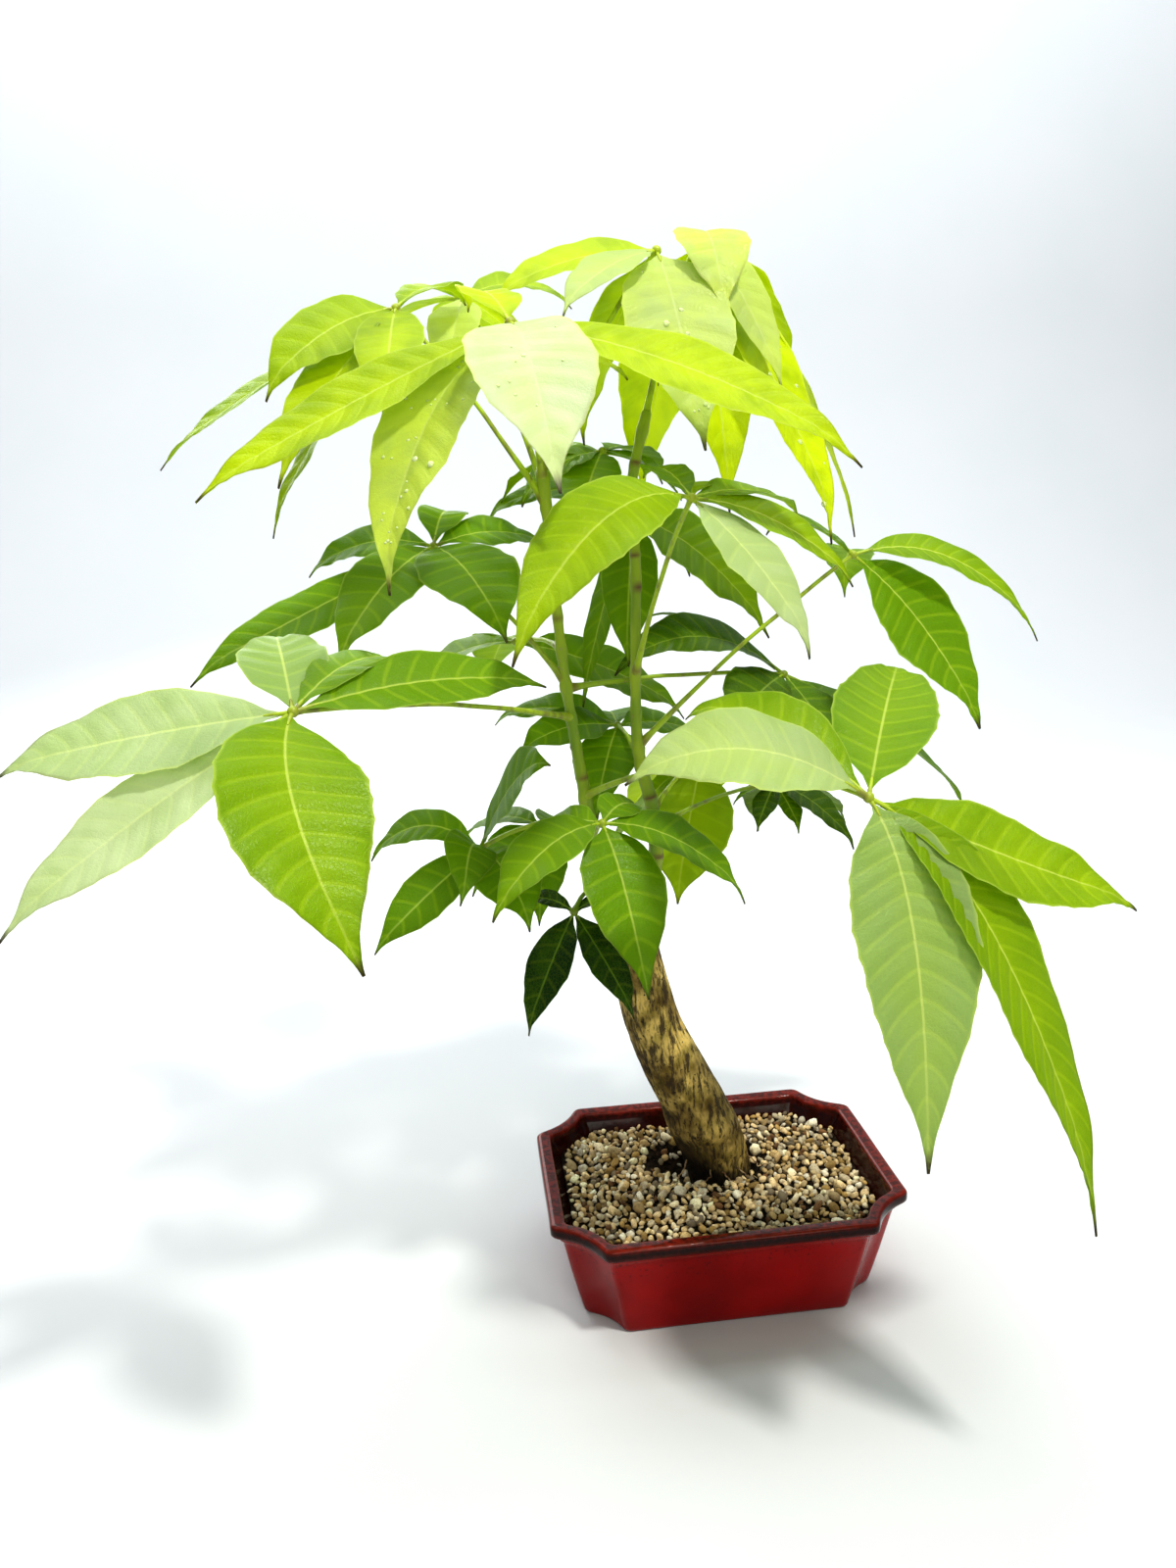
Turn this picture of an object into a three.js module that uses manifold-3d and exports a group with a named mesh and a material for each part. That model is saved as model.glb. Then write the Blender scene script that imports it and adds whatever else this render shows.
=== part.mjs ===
// A young money tree (Pachira aquatica) growing in a glazed bonsai tray.
// Millimetres, +Z up. The origin is the middle of the tray's flat base, on the surface it stands on.
// +X runs to the right along the tray's long side and +Y runs to the back.

import * as THREE from "three";
import { mergeVertices } from "three/addons/utils/BufferGeometryUtils.js";
import Module from "manifold-3d";

const wasm = await Module();
wasm.setup();

// Driving dimensions

const GAP = 0.3; // clearance between neighbouring pieces
const SLIVER = 0.05; // faces finer than this, left where solids were joined, are merged away

const RIM_LENGTH = 180;
const RIM_WIDTH = 138;
const RIM_NOTCH = 24; // the corner cut, along each side
const RIM_HEIGHT = 6.5;
const RIM_LAND = 7.5; // width of the flat top of the rim
const RIM_OVERHANG = 5;
const TRAY_HEIGHT = 56;
const TRAY_BASE_LENGTH = 148;
const TRAY_BASE_WIDTH = 107;
const TRAY_BASE_NOTCH = 18;
const TRAY_WALL = 6;
const TRAY_FLOOR = 7;
const NOTCH_HOLLOW = 0.12; // how far a corner cut bows inward, as a share of its chord
const NOTCH_STEPS = 3;

const DRAIN_RADIUS = 7;
const DRAIN_SPACING = 70;
const MESH_SIDE = 24;
const MESH_THICKNESS = 1;

const SOIL_TOP = 38;
const GRAVEL_TOP = 48;
const HOLLOW_CENTRE = [0, 16, 54]; // the dug-out bowl round the foot of the trunk
const HOLLOW_RADII = [33, 26, 20];

const TRUNK_SIDES = 12;
const TRUNK = [
  // x, y, z, radius
  [6, 20, 18, 12],
  [5, 18, 34, 16],
  [4, 16, 48, 18.5],
  [2, 14, 60, 19],
  [-3, 11, 74, 19],
  [-8, 8, 88, 18],
  [-16, 5, 107, 17],
  [-22, 3, 122, 16.3],
  [-28, 1, 138, 14.8],
  [-35, 0, 160, 13.5],
  [-41, 0, 182, 14],
  [-43, 0, 196, 12],
  [-43, 0, 202, 7],
];

const STEM_SIDES = 7;
const STEM_STEPS = 12;
const LEFT_STEM = [
  [-49, 0, 190], [-57, 0, 222], [-60, 0, 253], [-66, 0, 297],
  [-69, 0, 325], [-73, 0, 385], [-75, 0, 412],
];
const RIGHT_STEM = [
  [-37, 0, 190], [-27, 0, 222], [-28, 0, 250], [-34, 0, 280],
  [-33, 0, 370], [-34, 0, 402], [-26, 0, 436],
];
const STEM_FOOT_RADIUS = 4.2;
const STEM_TIP_RADIUS = 2.4;

const PETIOLE_SIDES = 5;
const PETIOLE_STEPS = 5;
const PETIOLE_FOOT_RADIUS = 1.7;
const PETIOLE_TIP_RADIUS = 1.1;
const HUB_RADIUS = 2.2;

const BLADE_THICKNESS = 1.2;
const BLADE_FOLD = 0.16; // how deep the midrib lies under the edges, as a share of the width
const BLADE_STALK = 0.07; // share of the leaflet's length that is its short stalk
const BLADE_FULLNESS = 1.08; // above 1 the blade is widest beyond its middle
const STALK_RADIUS = 0.9;
const BLADE_STATIONS = [0, 0.08, 0.24, 0.44, 0.66, 0.86, 1];

// Leaves. Each one is a petiole that ends in a hub, with a fan of leaflets round the hub.
// foot is the height of the petiole's foot on its stem and lift bows the petiole upward.
// A leaflet is [azimuth, reach, drop, arch, width, roll]: its tip lies reach away from the hub
// toward azimuth (degrees from +X toward +Y) and drop below it, arch lifts its middle above the
// straight line, roll (degrees) turns the blade about its own length, and an optional sway bows it
// sideways, toward greater azimuths where it is positive.

const LEFT_LEAVES = [
  { foot: 214, hub: [-70, -18, 206], lift: 3, leaflets: [
    [-140, 35, 50, 3, 24, -10], [-45, 35, 45, 2, 22, 10], [165, 25, -5, 4, 12, -20],
    [15, 28, -4, 3, 11, 10],
  ] },
  { foot: 230, hub: [-59, -50, 257], lift: 4, leaflets: [
    [-75, 45, 65, 10, 38, 0], [-150, 60, 30, 10, 32, -15], [-10, 65, 35, 10, 30, 20],
    [45, 30, 0, 6, 20, 20], [160, 35, 12, 6, 24, -20],
  ] },
  { foot: 242, hub: [-80, 32, 236], lift: 3, leaflets: [
    [-165, 40, 30, 6, 28, -15], [-100, 30, 42, 6, 28, 0], [145, 50, 10, 8, 24, -10],
    [60, 45, 20, 8, 26, 10],
  ] },
  { foot: 248, hub: [-113, -14, 239], lift: 4, leaflets: [
    [-50, 48, -48, 10, 36, 50], [-105, 35, 15, 12, 26, -30], [165, 55, 5, 14, 22, -30],
    [-160, 55, 40, 2, 24, -45], [-60, 42, 28, 8, 36, 10],
  ] },
  { foot: 258, hub: [29, -140, 284], lift: 14, leaflets: [
    [62, 95, -40, 6, 42, 10], [180, 91, -12, 15, 40, -35], [142, 75, -30, 10, 34, -30],
    [-2, 110, 48, -2, 42, 35], [-36, 90, 155, 28, 38, 20, 8], [-84, 50, 125, 18, 48, 0, 6],
  ] },
  { foot: 297, hub: [-178, -120, 324], lift: 4, leaflets: [
    [180, 105, 15, 2, 38, -40], [-162, 105, 65, 3, 30, -40], [-70, 70, 75, 12, 52, -5, -10],
    [102, 60, -24, 4, 34, 0], [52, 60, -12, 8, 24, 10], [18, 100, -2, 6, 30, 35],
  ] },
  { foot: 314, hub: [-126, 8, 379], lift: 4, leaflets: [
    [172, 60, 10, 8, 28, -30], [-160, 115, 50, 0, 28, -35], [-125, 75, 45, 8, 34, -20],
    [-62, 62, 38, 8, 46, 10], [75, 45, -8, 12, 24, 10], [25, 60, 0, 6, 30, 25],
  ] },
  { foot: 311, hub: [46, 26, 309], lift: 3, leaflets: [
    [-172, 90, -8, 18, 36, -25], [150, 75, -32, 8, 16, 0], [-130, 62, 20, 4, 36, -35],
    [-60, 45, 45, 4, 30, 0], [14, 120, 80, 8, 30, 20],
  ] },
  { foot: 330, hub: [-88, 44, 330], lift: 3, leaflets: [
    [5, 90, 42, 6, 36, 35], [55, 80, 30, 8, 34, 10], [100, 70, 25, 10, 36, 0],
    [165, 60, 25, 8, 30, -15],
  ] },
  { foot: 396, hub: [-136, 12, 483], lift: 4, leaflets: [
    [-153, 65, 38, 8, 38, -35], [162, 125, 60, 4, 32, -30], [-134, 75, 75, 6, 34, -15],
    [-175, 65, 95, 4, 26, -20], [-95, 60, 50, 6, 30, 0], [50, 50, -10, 8, 28, 5],
  ] },
  { foot: 402, hub: [-105, 58, 496], lift: 6, leaflets: [
    [-105, 38, 42, 5, 26, 0], [-25, 45, 45, 6, 28, 15], [20, 60, 0, 8, 28, 25],
    [88, 75, 35, 12, 34, 0], [155, 80, 40, 12, 34, -15],
  ] },
  { foot: 407, hub: [-90, -60, 464], lift: 6, leaflets: [
    [-80, 60, 65, 14, 50, 5], [-171, 125, 62, 2, 40, -35], [-140, 72, 98, 12, 40, -15, -10],
    [-14, 138, 56, 8, 40, 40], [38, 68, 14, 0, 28, 20], [110, 45, -15, 8, 26, 0],
  ] },
  { foot: 411, hub: [-22, -10, 501], lift: 8, leaflets: [
    [178, 74, 18, 6, 30, -35], [-142, 60, 30, 5, 24, -20], [-80, 50, 85, 9, 48, 5],
    [130, 52, 75, 10, 38, -10], [80, 35, 50, 6, 20, 0],
  ] },
];

const RIGHT_LEAVES = [
  { foot: 240, hub: [52, 62, 244], lift: 4, leaflets: [
    [-175, 25, 8, 2, 10, 0], [-130, 24, 20, 2, 15, 0], [-68, 22, 22, 2, 15, 0],
    [-30, 45, 32, 6, 26, 10], [30, 60, 30, 8, 26, 10], [85, 60, 40, 8, 26, 0],
  ] },
  { foot: 248, hub: [8, 50, 262], lift: 4, leaflets: [
    [-125, 36, 68, 4, 46, -25], [160, 55, 55, 8, 34, -10], [75, 60, 40, 8, 32, 0],
    [120, 65, 40, 8, 34, 0],
  ] },
  { foot: 272, hub: [-38, 40, 285], lift: 3, leaflets: [
    [-165, 55, 8, 6, 32, -25], [-115, 42, 38, 5, 34, 0], [155, 70, -2, 8, 28, -20],
    [15, 46, 8, 4, 28, 20], [90, 60, 10, 8, 30, 0],
  ] },
  { foot: 281, hub: [72, 0, 368], lift: 4, leaflets: [
    [0, 98, 42, 18, 26, 35], [-30, 62, 80, 8, 50, 30, 5], [-165, 48, -14, 8, 22, -20],
    [75, 60, 20, 10, 26, 10],
  ] },
  { foot: 316, hub: [-21, -70, 395], lift: 6, leaflets: [
    [-143, 100, 55, 20, 40, -25], [-42, 55, 60, 6, 30, 15], [0, 70, 36, 8, 22, 35],
    [115, 34, -12, 6, 22, 0], [78, 45, -2, 6, 20, 5], [32, 68, 6, 6, 22, 20],
  ] },
  { foot: 362, hub: [-28, 36, 390], lift: 4, leaflets: [
    [-110, 26, 70, 4, 28, -10], [-12, 68, 60, 10, 44, 35], [-170, 30, 92, 8, 20, -20],
    [165, 78, 0, 14, 26, -25], [55, 70, 30, 10, 32, 0], [110, 65, 30, 10, 32, 0],
  ] },
  { foot: 392, hub: [-44, 22, 420], lift: 3, leaflets: [
    [-170, 42, 22, 6, 28, -20], [-10, 38, 22, 5, 26, 10], [-115, 40, 35, 4, 28, -10],
    [45, 50, 12, 8, 28, 10], [145, 60, 20, 8, 30, -15],
  ] },
  { foot: 428, hub: [0, 4, 509], lift: 8, leaflets: [
    [-85, 36, 38, 14, 34, 0], [-50, 45, 68, 8, 28, 15], [34, 70, 65, 14, 34, 20],
    [-76, 28, 118, 8, 36, 0], [-32, 66, 132, 6, 38, 18, 2], [14, 88, 130, 16, 30, 25],
    [108, 66, 108, 12, 46, 0],
  ] },
];

// Materials

const GLAZE = new THREE.MeshStandardMaterial({ color: 0x7d1214, roughness: 0.2, metalness: 0 });
const MESH_PLASTIC = new THREE.MeshStandardMaterial({ color: 0x1c1c1c, roughness: 0.7, metalness: 0 });
const SOIL = new THREE.MeshStandardMaterial({ color: 0x1b130c, roughness: 1, metalness: 0 });
const PUMICE = new THREE.MeshStandardMaterial({ color: 0xc4b183, roughness: 0.9, metalness: 0 });
const BARK = new THREE.MeshStandardMaterial({ color: 0x7a6a3f, roughness: 0.9, metalness: 0 });
const GREEN_STEM = new THREE.MeshStandardMaterial({ color: 0x5f7a17, roughness: 0.5, metalness: 0 });
const GREEN_LEAF = new THREE.MeshStandardMaterial({ color: 0x86b800, roughness: 0.4, metalness: 0 });

// Solids and meshes

function solidFromGeometry(geometry) {
  const bare = geometry.clone();
  bare.deleteAttribute("normal");
  bare.deleteAttribute("uv");
  const merged = mergeVertices(bare, 1e-5);
  const mesh = new wasm.Mesh({
    numProp: 3,
    vertProperties: merged.attributes.position.array,
    triVerts: new Uint32Array(merged.index.array),
  });
  return new wasm.Manifold(mesh);
}

function geometryFromSolid(solid) {
  const mesh = solid.getMesh();
  const geometry = new THREE.BufferGeometry();
  geometry.setAttribute("position", new THREE.BufferAttribute(new Float32Array(mesh.vertProperties), 3));
  geometry.setIndex(new THREE.BufferAttribute(new Uint32Array(mesh.triVerts), 1));
  geometry.computeVertexNormals();
  return geometry;
}

function largestPiece(solid) {
  return solid.decompose().reduce((best, piece) => (piece.volume() > best.volume() ? piece : best));
}

// A closed solid through rings of points, with a fan at each end round the ring's middle.
function loft(rings) {
  const count = rings[0].length;
  const vertices = [];
  const triangles = [];
  for (const ring of rings) {
    for (const point of ring) vertices.push(point.x, point.y, point.z);
  }
  for (let row = 0; row < rings.length - 1; row++) {
    for (let k = 0; k < count; k++) {
      const a = row * count + k;
      const b = row * count + ((k + 1) % count);
      triangles.push(a, b, b + count, a, b + count, a + count);
    }
  }
  for (const [row, flipped] of [[0, true], [rings.length - 1, false]]) {
    const middle = new THREE.Vector3();
    for (const point of rings[row]) middle.addScaledVector(point, 1 / count);
    const centre = vertices.length / 3;
    vertices.push(middle.x, middle.y, middle.z);
    for (let k = 0; k < count; k++) {
      const a = row * count + k;
      const b = row * count + ((k + 1) % count);
      if (flipped) triangles.push(b, a, centre);
      else triangles.push(a, b, centre);
    }
  }
  const geometry = new THREE.BufferGeometry();
  geometry.setAttribute("position", new THREE.BufferAttribute(new Float32Array(vertices), 3));
  geometry.setIndex(triangles);
  return solidFromGeometry(geometry);
}

// A round tube along a curve, with its radius given along the way.
function taperedTube(curve, steps, sides, radiusAt) {
  const frames = curve.computeFrenetFrames(steps, false);
  const rings = [];
  for (let i = 0; i <= steps; i++) {
    const centre = curve.getPointAt(i / steps);
    const radius = radiusAt(i / steps);
    const ring = [];
    for (let k = 0; k < sides; k++) {
      const angle = (2 * Math.PI * k) / sides;
      const point = centre.clone();
      point.addScaledVector(frames.normals[i], radius * Math.cos(angle));
      point.addScaledVector(frames.binormals[i], radius * Math.sin(angle));
      ring.push(point);
    }
    rings.push(ring);
  }
  return loft(rings);
}

// Tray

// A rectangle whose corners are cut by shallow hollow arcs.
function notchedOutline(length, width, notch, z) {
  const points = [];
  for (const [sx, sy] of [[1, 1], [-1, 1], [-1, -1], [1, -1]]) {
    const alongSide = new THREE.Vector2((sx * length) / 2, sy * (width / 2 - notch));
    const alongEnd = new THREE.Vector2(sx * (length / 2 - notch), (sy * width) / 2);
    const inward = new THREE.Vector2(-sx, -sy).multiplyScalar(NOTCH_HOLLOW * notch * 2);
    const middle = alongSide.clone().lerp(alongEnd, 0.5).add(inward);
    const arc = new THREE.QuadraticBezierCurve(alongSide, middle, alongEnd).getPoints(NOTCH_STEPS);
    if (sx !== sy) arc.reverse();
    for (const point of arc) points.push(new THREE.Vector3(point.x, point.y, z));
  }
  return points;
}

// A corner cut shortens as its outline moves inward.
function insetNotch(notch, inset) {
  return notch - (2 - Math.SQRT2) * inset;
}

// Length, width and corner cut of the tray's body at a height, moved inward by an inset.
function trayWidths(z, inset) {
  const share = z / (TRAY_HEIGHT - RIM_HEIGHT);
  const topLength = RIM_LENGTH - 2 * RIM_OVERHANG;
  const topWidth = RIM_WIDTH - 2 * RIM_OVERHANG;
  return [
    THREE.MathUtils.lerp(TRAY_BASE_LENGTH, topLength, share) - 2 * inset,
    THREE.MathUtils.lerp(TRAY_BASE_WIDTH, topWidth, share) - 2 * inset,
    insetNotch(THREE.MathUtils.lerp(TRAY_BASE_NOTCH, insetNotch(RIM_NOTCH, RIM_OVERHANG), share), inset),
  ];
}

// The space inside the walls, from one height to another.
function trayInside(bottom, top, inset) {
  const rings = [bottom, top].map((z) => {
    const [length, width, notch] = trayWidths(z, TRAY_WALL + inset);
    return notchedOutline(length, width, notch, z);
  });
  return loft(rings);
}

function verticalCylinder(x, y, radius, bottom, top) {
  const geometry = new THREE.CylinderGeometry(radius, radius, top - bottom, 20);
  geometry.rotateX(Math.PI / 2);
  geometry.translate(x, y, (bottom + top) / 2);
  return solidFromGeometry(geometry);
}

function makeTray() {
  const underRim = TRAY_HEIGHT - RIM_HEIGHT;
  const outside = loft([
    notchedOutline(...trayWidths(0, 0), 0),
    notchedOutline(...trayWidths(underRim, 0), underRim),
    notchedOutline(RIM_LENGTH, RIM_WIDTH, RIM_NOTCH, underRim + 1),
    notchedOutline(RIM_LENGTH, RIM_WIDTH, RIM_NOTCH, TRAY_HEIGHT - 1.5),
    notchedOutline(RIM_LENGTH - 3, RIM_WIDTH - 3, RIM_NOTCH, TRAY_HEIGHT),
  ]);
  const mouthLength = RIM_LENGTH - 2 * RIM_LAND;
  const mouthWidth = RIM_WIDTH - 2 * RIM_LAND;
  const mouthNotch = insetNotch(RIM_NOTCH, RIM_LAND);
  const inside = loft([
    notchedOutline(...trayWidths(TRAY_FLOOR, TRAY_WALL), TRAY_FLOOR),
    notchedOutline(...trayWidths(underRim - 4, TRAY_WALL), underRim - 4),
    notchedOutline(mouthLength, mouthWidth, mouthNotch, TRAY_HEIGHT - 2),
    notchedOutline(mouthLength + 2, mouthWidth + 2, mouthNotch, TRAY_HEIGHT + 1),
  ]);
  let tray = outside.subtract(inside);
  for (const side of [-1, 1]) {
    tray = tray.subtract(verticalCylinder((side * DRAIN_SPACING) / 2, 0, DRAIN_RADIUS, -1, TRAY_FLOOR + 1));
  }
  return tray;
}

function makeDrainageMesh(side) {
  const geometry = new THREE.BoxGeometry(MESH_SIDE, MESH_SIDE, MESH_THICKNESS);
  geometry.translate((side * DRAIN_SPACING) / 2, 0, TRAY_FLOOR + GAP + MESH_THICKNESS / 2);
  return solidFromGeometry(geometry);
}

// Trunk and stems

function makeTrunk(grow) {
  const rings = TRUNK.map(([x, y, z, radius], i) => {
    const ring = [];
    const spread = radius + grow;
    const height = i === TRUNK.length - 1 ? z + grow : z;
    for (let k = 0; k < TRUNK_SIDES; k++) {
      const angle = (2 * Math.PI * k) / TRUNK_SIDES;
      ring.push(new THREE.Vector3(x + spread * Math.cos(angle), y + spread * Math.sin(angle), height));
    }
    return ring;
  });
  return loft(rings);
}

function stemCurve(points) {
  return new THREE.CatmullRomCurve3(points.map((point) => new THREE.Vector3(...point)));
}

function makeStem(points, grow) {
  const radiusAt = (t) => THREE.MathUtils.lerp(STEM_FOOT_RADIUS, STEM_TIP_RADIUS, Math.min(1, t * 2)) + grow;
  return taperedTube(stemCurve(points), STEM_STEPS, STEM_SIDES, radiusAt);
}

// The point of a stem's centre line at a height.
function stemPointAt(points, z) {
  const curve = stemCurve(points);
  let low = 0;
  let high = 1;
  for (let i = 0; i < 30; i++) {
    const t = (low + high) / 2;
    if (curve.getPointAt(t).z < z) low = t;
    else high = t;
  }
  return curve.getPointAt(low);
}

// Leaves

// Half the blade's width at t along the leaflet, as a share of its greatest half width.
function bladeShape(t) {
  if (t <= BLADE_STALK) return 0;
  const u = (t - BLADE_STALK) / (1 - BLADE_STALK);
  return Math.sin(Math.PI * u ** BLADE_FULLNESS);
}

function makeLeaflet(hub, [azimuth, reach, drop, arch, width, roll, sway = 0], grow) {
  const bearing = THREE.MathUtils.degToRad(azimuth);
  const outward = new THREE.Vector3(Math.cos(bearing), Math.sin(bearing), 0);
  const tip = hub.clone().addScaledVector(outward, reach).add(new THREE.Vector3(0, 0, -drop));
  const level = new THREE.Vector3(-Math.sin(bearing), Math.cos(bearing), 0);
  const middle = hub.clone().lerp(tip, 0.5).add(new THREE.Vector3(0, 0, 2 * arch));
  middle.addScaledVector(level, 2 * sway);
  const curve = new THREE.QuadraticBezierCurve3(hub, middle, tip);
  const rings = BLADE_STATIONS.map((t) => {
    const centre = curve.getPoint(t);
    const along = curve.getTangent(t);
    const across = level.clone().applyAxisAngle(along, THREE.MathUtils.degToRad(roll));
    const normal = new THREE.Vector3().crossVectors(along, across);
    const half = Math.max((width / 2) * bladeShape(t), t < 0.5 ? STALK_RADIUS : 0.5) + grow;
    const thick = (t < 0.9 ? BLADE_THICKNESS / 2 : BLADE_THICKNESS / 3) + grow;
    const raised = BLADE_FOLD * half;
    const at = (side, rise) => centre.clone().addScaledVector(across, side).addScaledVector(normal, rise);
    return [at(half, raised), at(0, thick), at(-half, raised), at(0, -thick)];
  });
  return loft(rings);
}

function makeLeaf(stemPoints, { foot, hub, lift, leaflets }, grow) {
  const start = stemPointAt(stemPoints, foot);
  const end = new THREE.Vector3(...hub);
  const middle = start.clone().lerp(end, 0.5).add(new THREE.Vector3(0, 0, 2 * lift));
  const petiole = new THREE.QuadraticBezierCurve3(start, middle, end);
  const thinning = (t) => THREE.MathUtils.lerp(PETIOLE_FOOT_RADIUS, PETIOLE_TIP_RADIUS, Math.min(1, t * 3));
  const radiusAt = (t) => thinning(t) + grow;
  const hubBall = new THREE.IcosahedronGeometry(HUB_RADIUS + grow, 0);
  hubBall.translate(end.x, end.y, end.z);
  let leaf = taperedTube(petiole, PETIOLE_STEPS, PETIOLE_SIDES, radiusAt);
  leaf = leaf.add(solidFromGeometry(hubBall));
  for (const leaflet of leaflets) leaf = leaf.add(makeLeaflet(end, leaflet, grow));
  return leaf;
}

// Assembly

const moneyTree = new THREE.Group();

function addPiece(name, solid, material) {
  const mesh = new THREE.Mesh(geometryFromSolid(solid), material);
  mesh.name = name;
  moneyTree.add(mesh);
}

const trunk = makeTrunk(0);
const trunkRoom = makeTrunk(GAP);
const meshes = [makeDrainageMesh(-1), makeDrainageMesh(1)];

const hollowGeometry = new THREE.SphereGeometry(1, 20, 12);
hollowGeometry.scale(...HOLLOW_RADII);
hollowGeometry.translate(...HOLLOW_CENTRE);
const hollow = solidFromGeometry(hollowGeometry);

const soilBottom = TRAY_FLOOR + MESH_THICKNESS + 2 * GAP;
const soil = trayInside(soilBottom, SOIL_TOP, GAP).subtract(trunkRoom).subtract(hollow);
const gravel = trayInside(SOIL_TOP + GAP, GRAVEL_TOP, GAP).subtract(trunkRoom).subtract(hollow);

addPiece("pot", makeTray(), GLAZE);
addPiece("drainage_mesh_left", meshes[0], MESH_PLASTIC);
addPiece("drainage_mesh_right", meshes[1], MESH_PLASTIC);
addPiece("potting_soil", largestPiece(soil), SOIL);
addPiece("gravel_bed", largestPiece(gravel), PUMICE);
addPiece("trunk", trunk, BARK);

const leftStem = largestPiece(makeStem(LEFT_STEM, 0).subtract(trunkRoom));
const rightStem = largestPiece(makeStem(RIGHT_STEM, 0).subtract(trunkRoom));
addPiece("left_stem", leftStem, GREEN_STEM);
addPiece("right_stem", rightStem, GREEN_STEM);

const room = [trunkRoom, makeStem(LEFT_STEM, GAP), makeStem(RIGHT_STEM, GAP)];
for (const [side, stem, leaves] of [["left", LEFT_STEM, LEFT_LEAVES], ["right", RIGHT_STEM, RIGHT_LEAVES]]) {
  leaves.forEach((spec, i) => {
    let leaf = makeLeaf(stem, spec, 0);
    for (const neighbour of room) leaf = leaf.subtract(neighbour);
    leaf = largestPiece(leaf).simplify(SLIVER);
    room.push(makeLeaf(stem, spec, GAP));
    addPiece(`${side}_leaf_${String(i + 1).padStart(2, "0")}`, leaf, GREEN_LEAF);
  });
}

export default moneyTree;
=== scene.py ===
# The look of the potted money tree: the glazed tray, its gravel and soil, the trunk and its two
# green stems, and every compound leaf. Metres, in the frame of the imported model.
import math
import random

import bmesh
import bpy
import numpy as np
from mathutils import Matrix, Vector, noise


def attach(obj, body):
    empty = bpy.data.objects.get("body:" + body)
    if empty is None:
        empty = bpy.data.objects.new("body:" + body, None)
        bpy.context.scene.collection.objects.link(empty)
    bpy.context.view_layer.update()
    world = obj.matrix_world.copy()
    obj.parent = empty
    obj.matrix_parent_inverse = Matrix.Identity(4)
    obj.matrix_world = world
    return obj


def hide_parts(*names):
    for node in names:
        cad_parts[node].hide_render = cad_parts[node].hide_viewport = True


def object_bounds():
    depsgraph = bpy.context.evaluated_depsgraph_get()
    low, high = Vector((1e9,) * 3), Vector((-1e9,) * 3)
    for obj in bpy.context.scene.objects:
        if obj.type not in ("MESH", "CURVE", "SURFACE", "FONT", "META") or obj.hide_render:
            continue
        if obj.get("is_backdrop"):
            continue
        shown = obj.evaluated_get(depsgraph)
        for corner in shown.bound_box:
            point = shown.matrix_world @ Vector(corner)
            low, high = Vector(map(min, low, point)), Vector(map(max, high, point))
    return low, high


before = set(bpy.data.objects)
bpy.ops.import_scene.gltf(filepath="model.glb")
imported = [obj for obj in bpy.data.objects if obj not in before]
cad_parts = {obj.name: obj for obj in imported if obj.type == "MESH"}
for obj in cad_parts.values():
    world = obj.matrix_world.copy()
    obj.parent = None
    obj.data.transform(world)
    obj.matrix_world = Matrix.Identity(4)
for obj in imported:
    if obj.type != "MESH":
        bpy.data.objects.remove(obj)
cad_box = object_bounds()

MM = 0.001
rng = random.Random(41)


# Camera

AZIMUTH = math.radians(-6.5)
ELEVATION = math.radians(12.6)
ROLL = math.radians(-2.05)
DISTANCE = 0.548
TARGET = Vector((-0.059, 0.0, 0.264))


def make_camera():
    forward = Vector((-math.cos(ELEVATION) * math.sin(AZIMUTH), math.cos(ELEVATION) * math.cos(AZIMUTH),
                      -math.sin(ELEVATION)))
    right = forward.cross(Vector((0, 0, 1))).normalized()
    up = right.cross(forward)
    tilted_right = math.cos(ROLL) * right + math.sin(ROLL) * up
    tilted_up = -math.sin(ROLL) * right + math.cos(ROLL) * up
    data = bpy.data.cameras.new("camera")
    data.sensor_fit = "VERTICAL"
    data.sensor_height = 36
    data.lens = 26
    data.clip_start = 0.01
    camera = bpy.data.objects.new("camera", data)
    turn = Matrix((tilted_right, tilted_up, -forward)).transposed().to_4x4()
    camera.matrix_world = Matrix.Translation(TARGET - forward * DISTANCE) @ turn
    bpy.context.scene.collection.objects.link(camera)
    bpy.context.scene.camera = camera


make_camera()


# Materials

def new_material(name):
    material = bpy.data.materials.new(name)
    material.use_nodes = True
    tree = material.node_tree
    tree.nodes.clear()
    output = tree.nodes.new("ShaderNodeOutputMaterial")
    surface = tree.nodes.new("ShaderNodeBsdfPrincipled")
    tree.links.new(surface.outputs[0], output.inputs["Surface"])
    return material, tree, surface, output


def node(tree, kind, inputs=None, **settings):
    made = tree.nodes.new(kind)
    for key, value in settings.items():
        setattr(made, key, value)
    for key, value in (inputs or {}).items():
        if isinstance(value, bpy.types.NodeSocket):
            tree.links.new(value, made.inputs[key])
        else:
            made.inputs[key].default_value = value
    return made


def maths(tree, operation, first, second=0.0, third=0.0, clamp=False):
    inputs = {0: first, 1: second, 2: third}
    return node(tree, "ShaderNodeMath", inputs, operation=operation, use_clamp=clamp).outputs[0]


def times(tree, value, factor):
    return maths(tree, "MULTIPLY", value, factor)


def spread(tree, value, low, high, to_low=0.0, to_high=1.0):
    inputs = {"Value": value, "From Min": low, "From Max": high, "To Min": to_low, "To Max": to_high}
    return node(tree, "ShaderNodeMapRange", inputs, interpolation_type="SMOOTHSTEP").outputs[0]


def blend_colours(tree, share, first, second, mode="MIX"):
    made = tree.nodes.new("ShaderNodeMix")
    made.data_type = "RGBA"
    made.blend_type = mode
    for key, value in (("Factor", share), (6, first), (7, second)):
        socket = made.inputs[0] if key == "Factor" else made.inputs[key]
        if isinstance(value, bpy.types.NodeSocket):
            tree.links.new(value, socket)
        elif key == "Factor":
            socket.default_value = value
        else:
            socket.default_value = (*value, 1)
    return made.outputs[2]


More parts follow.
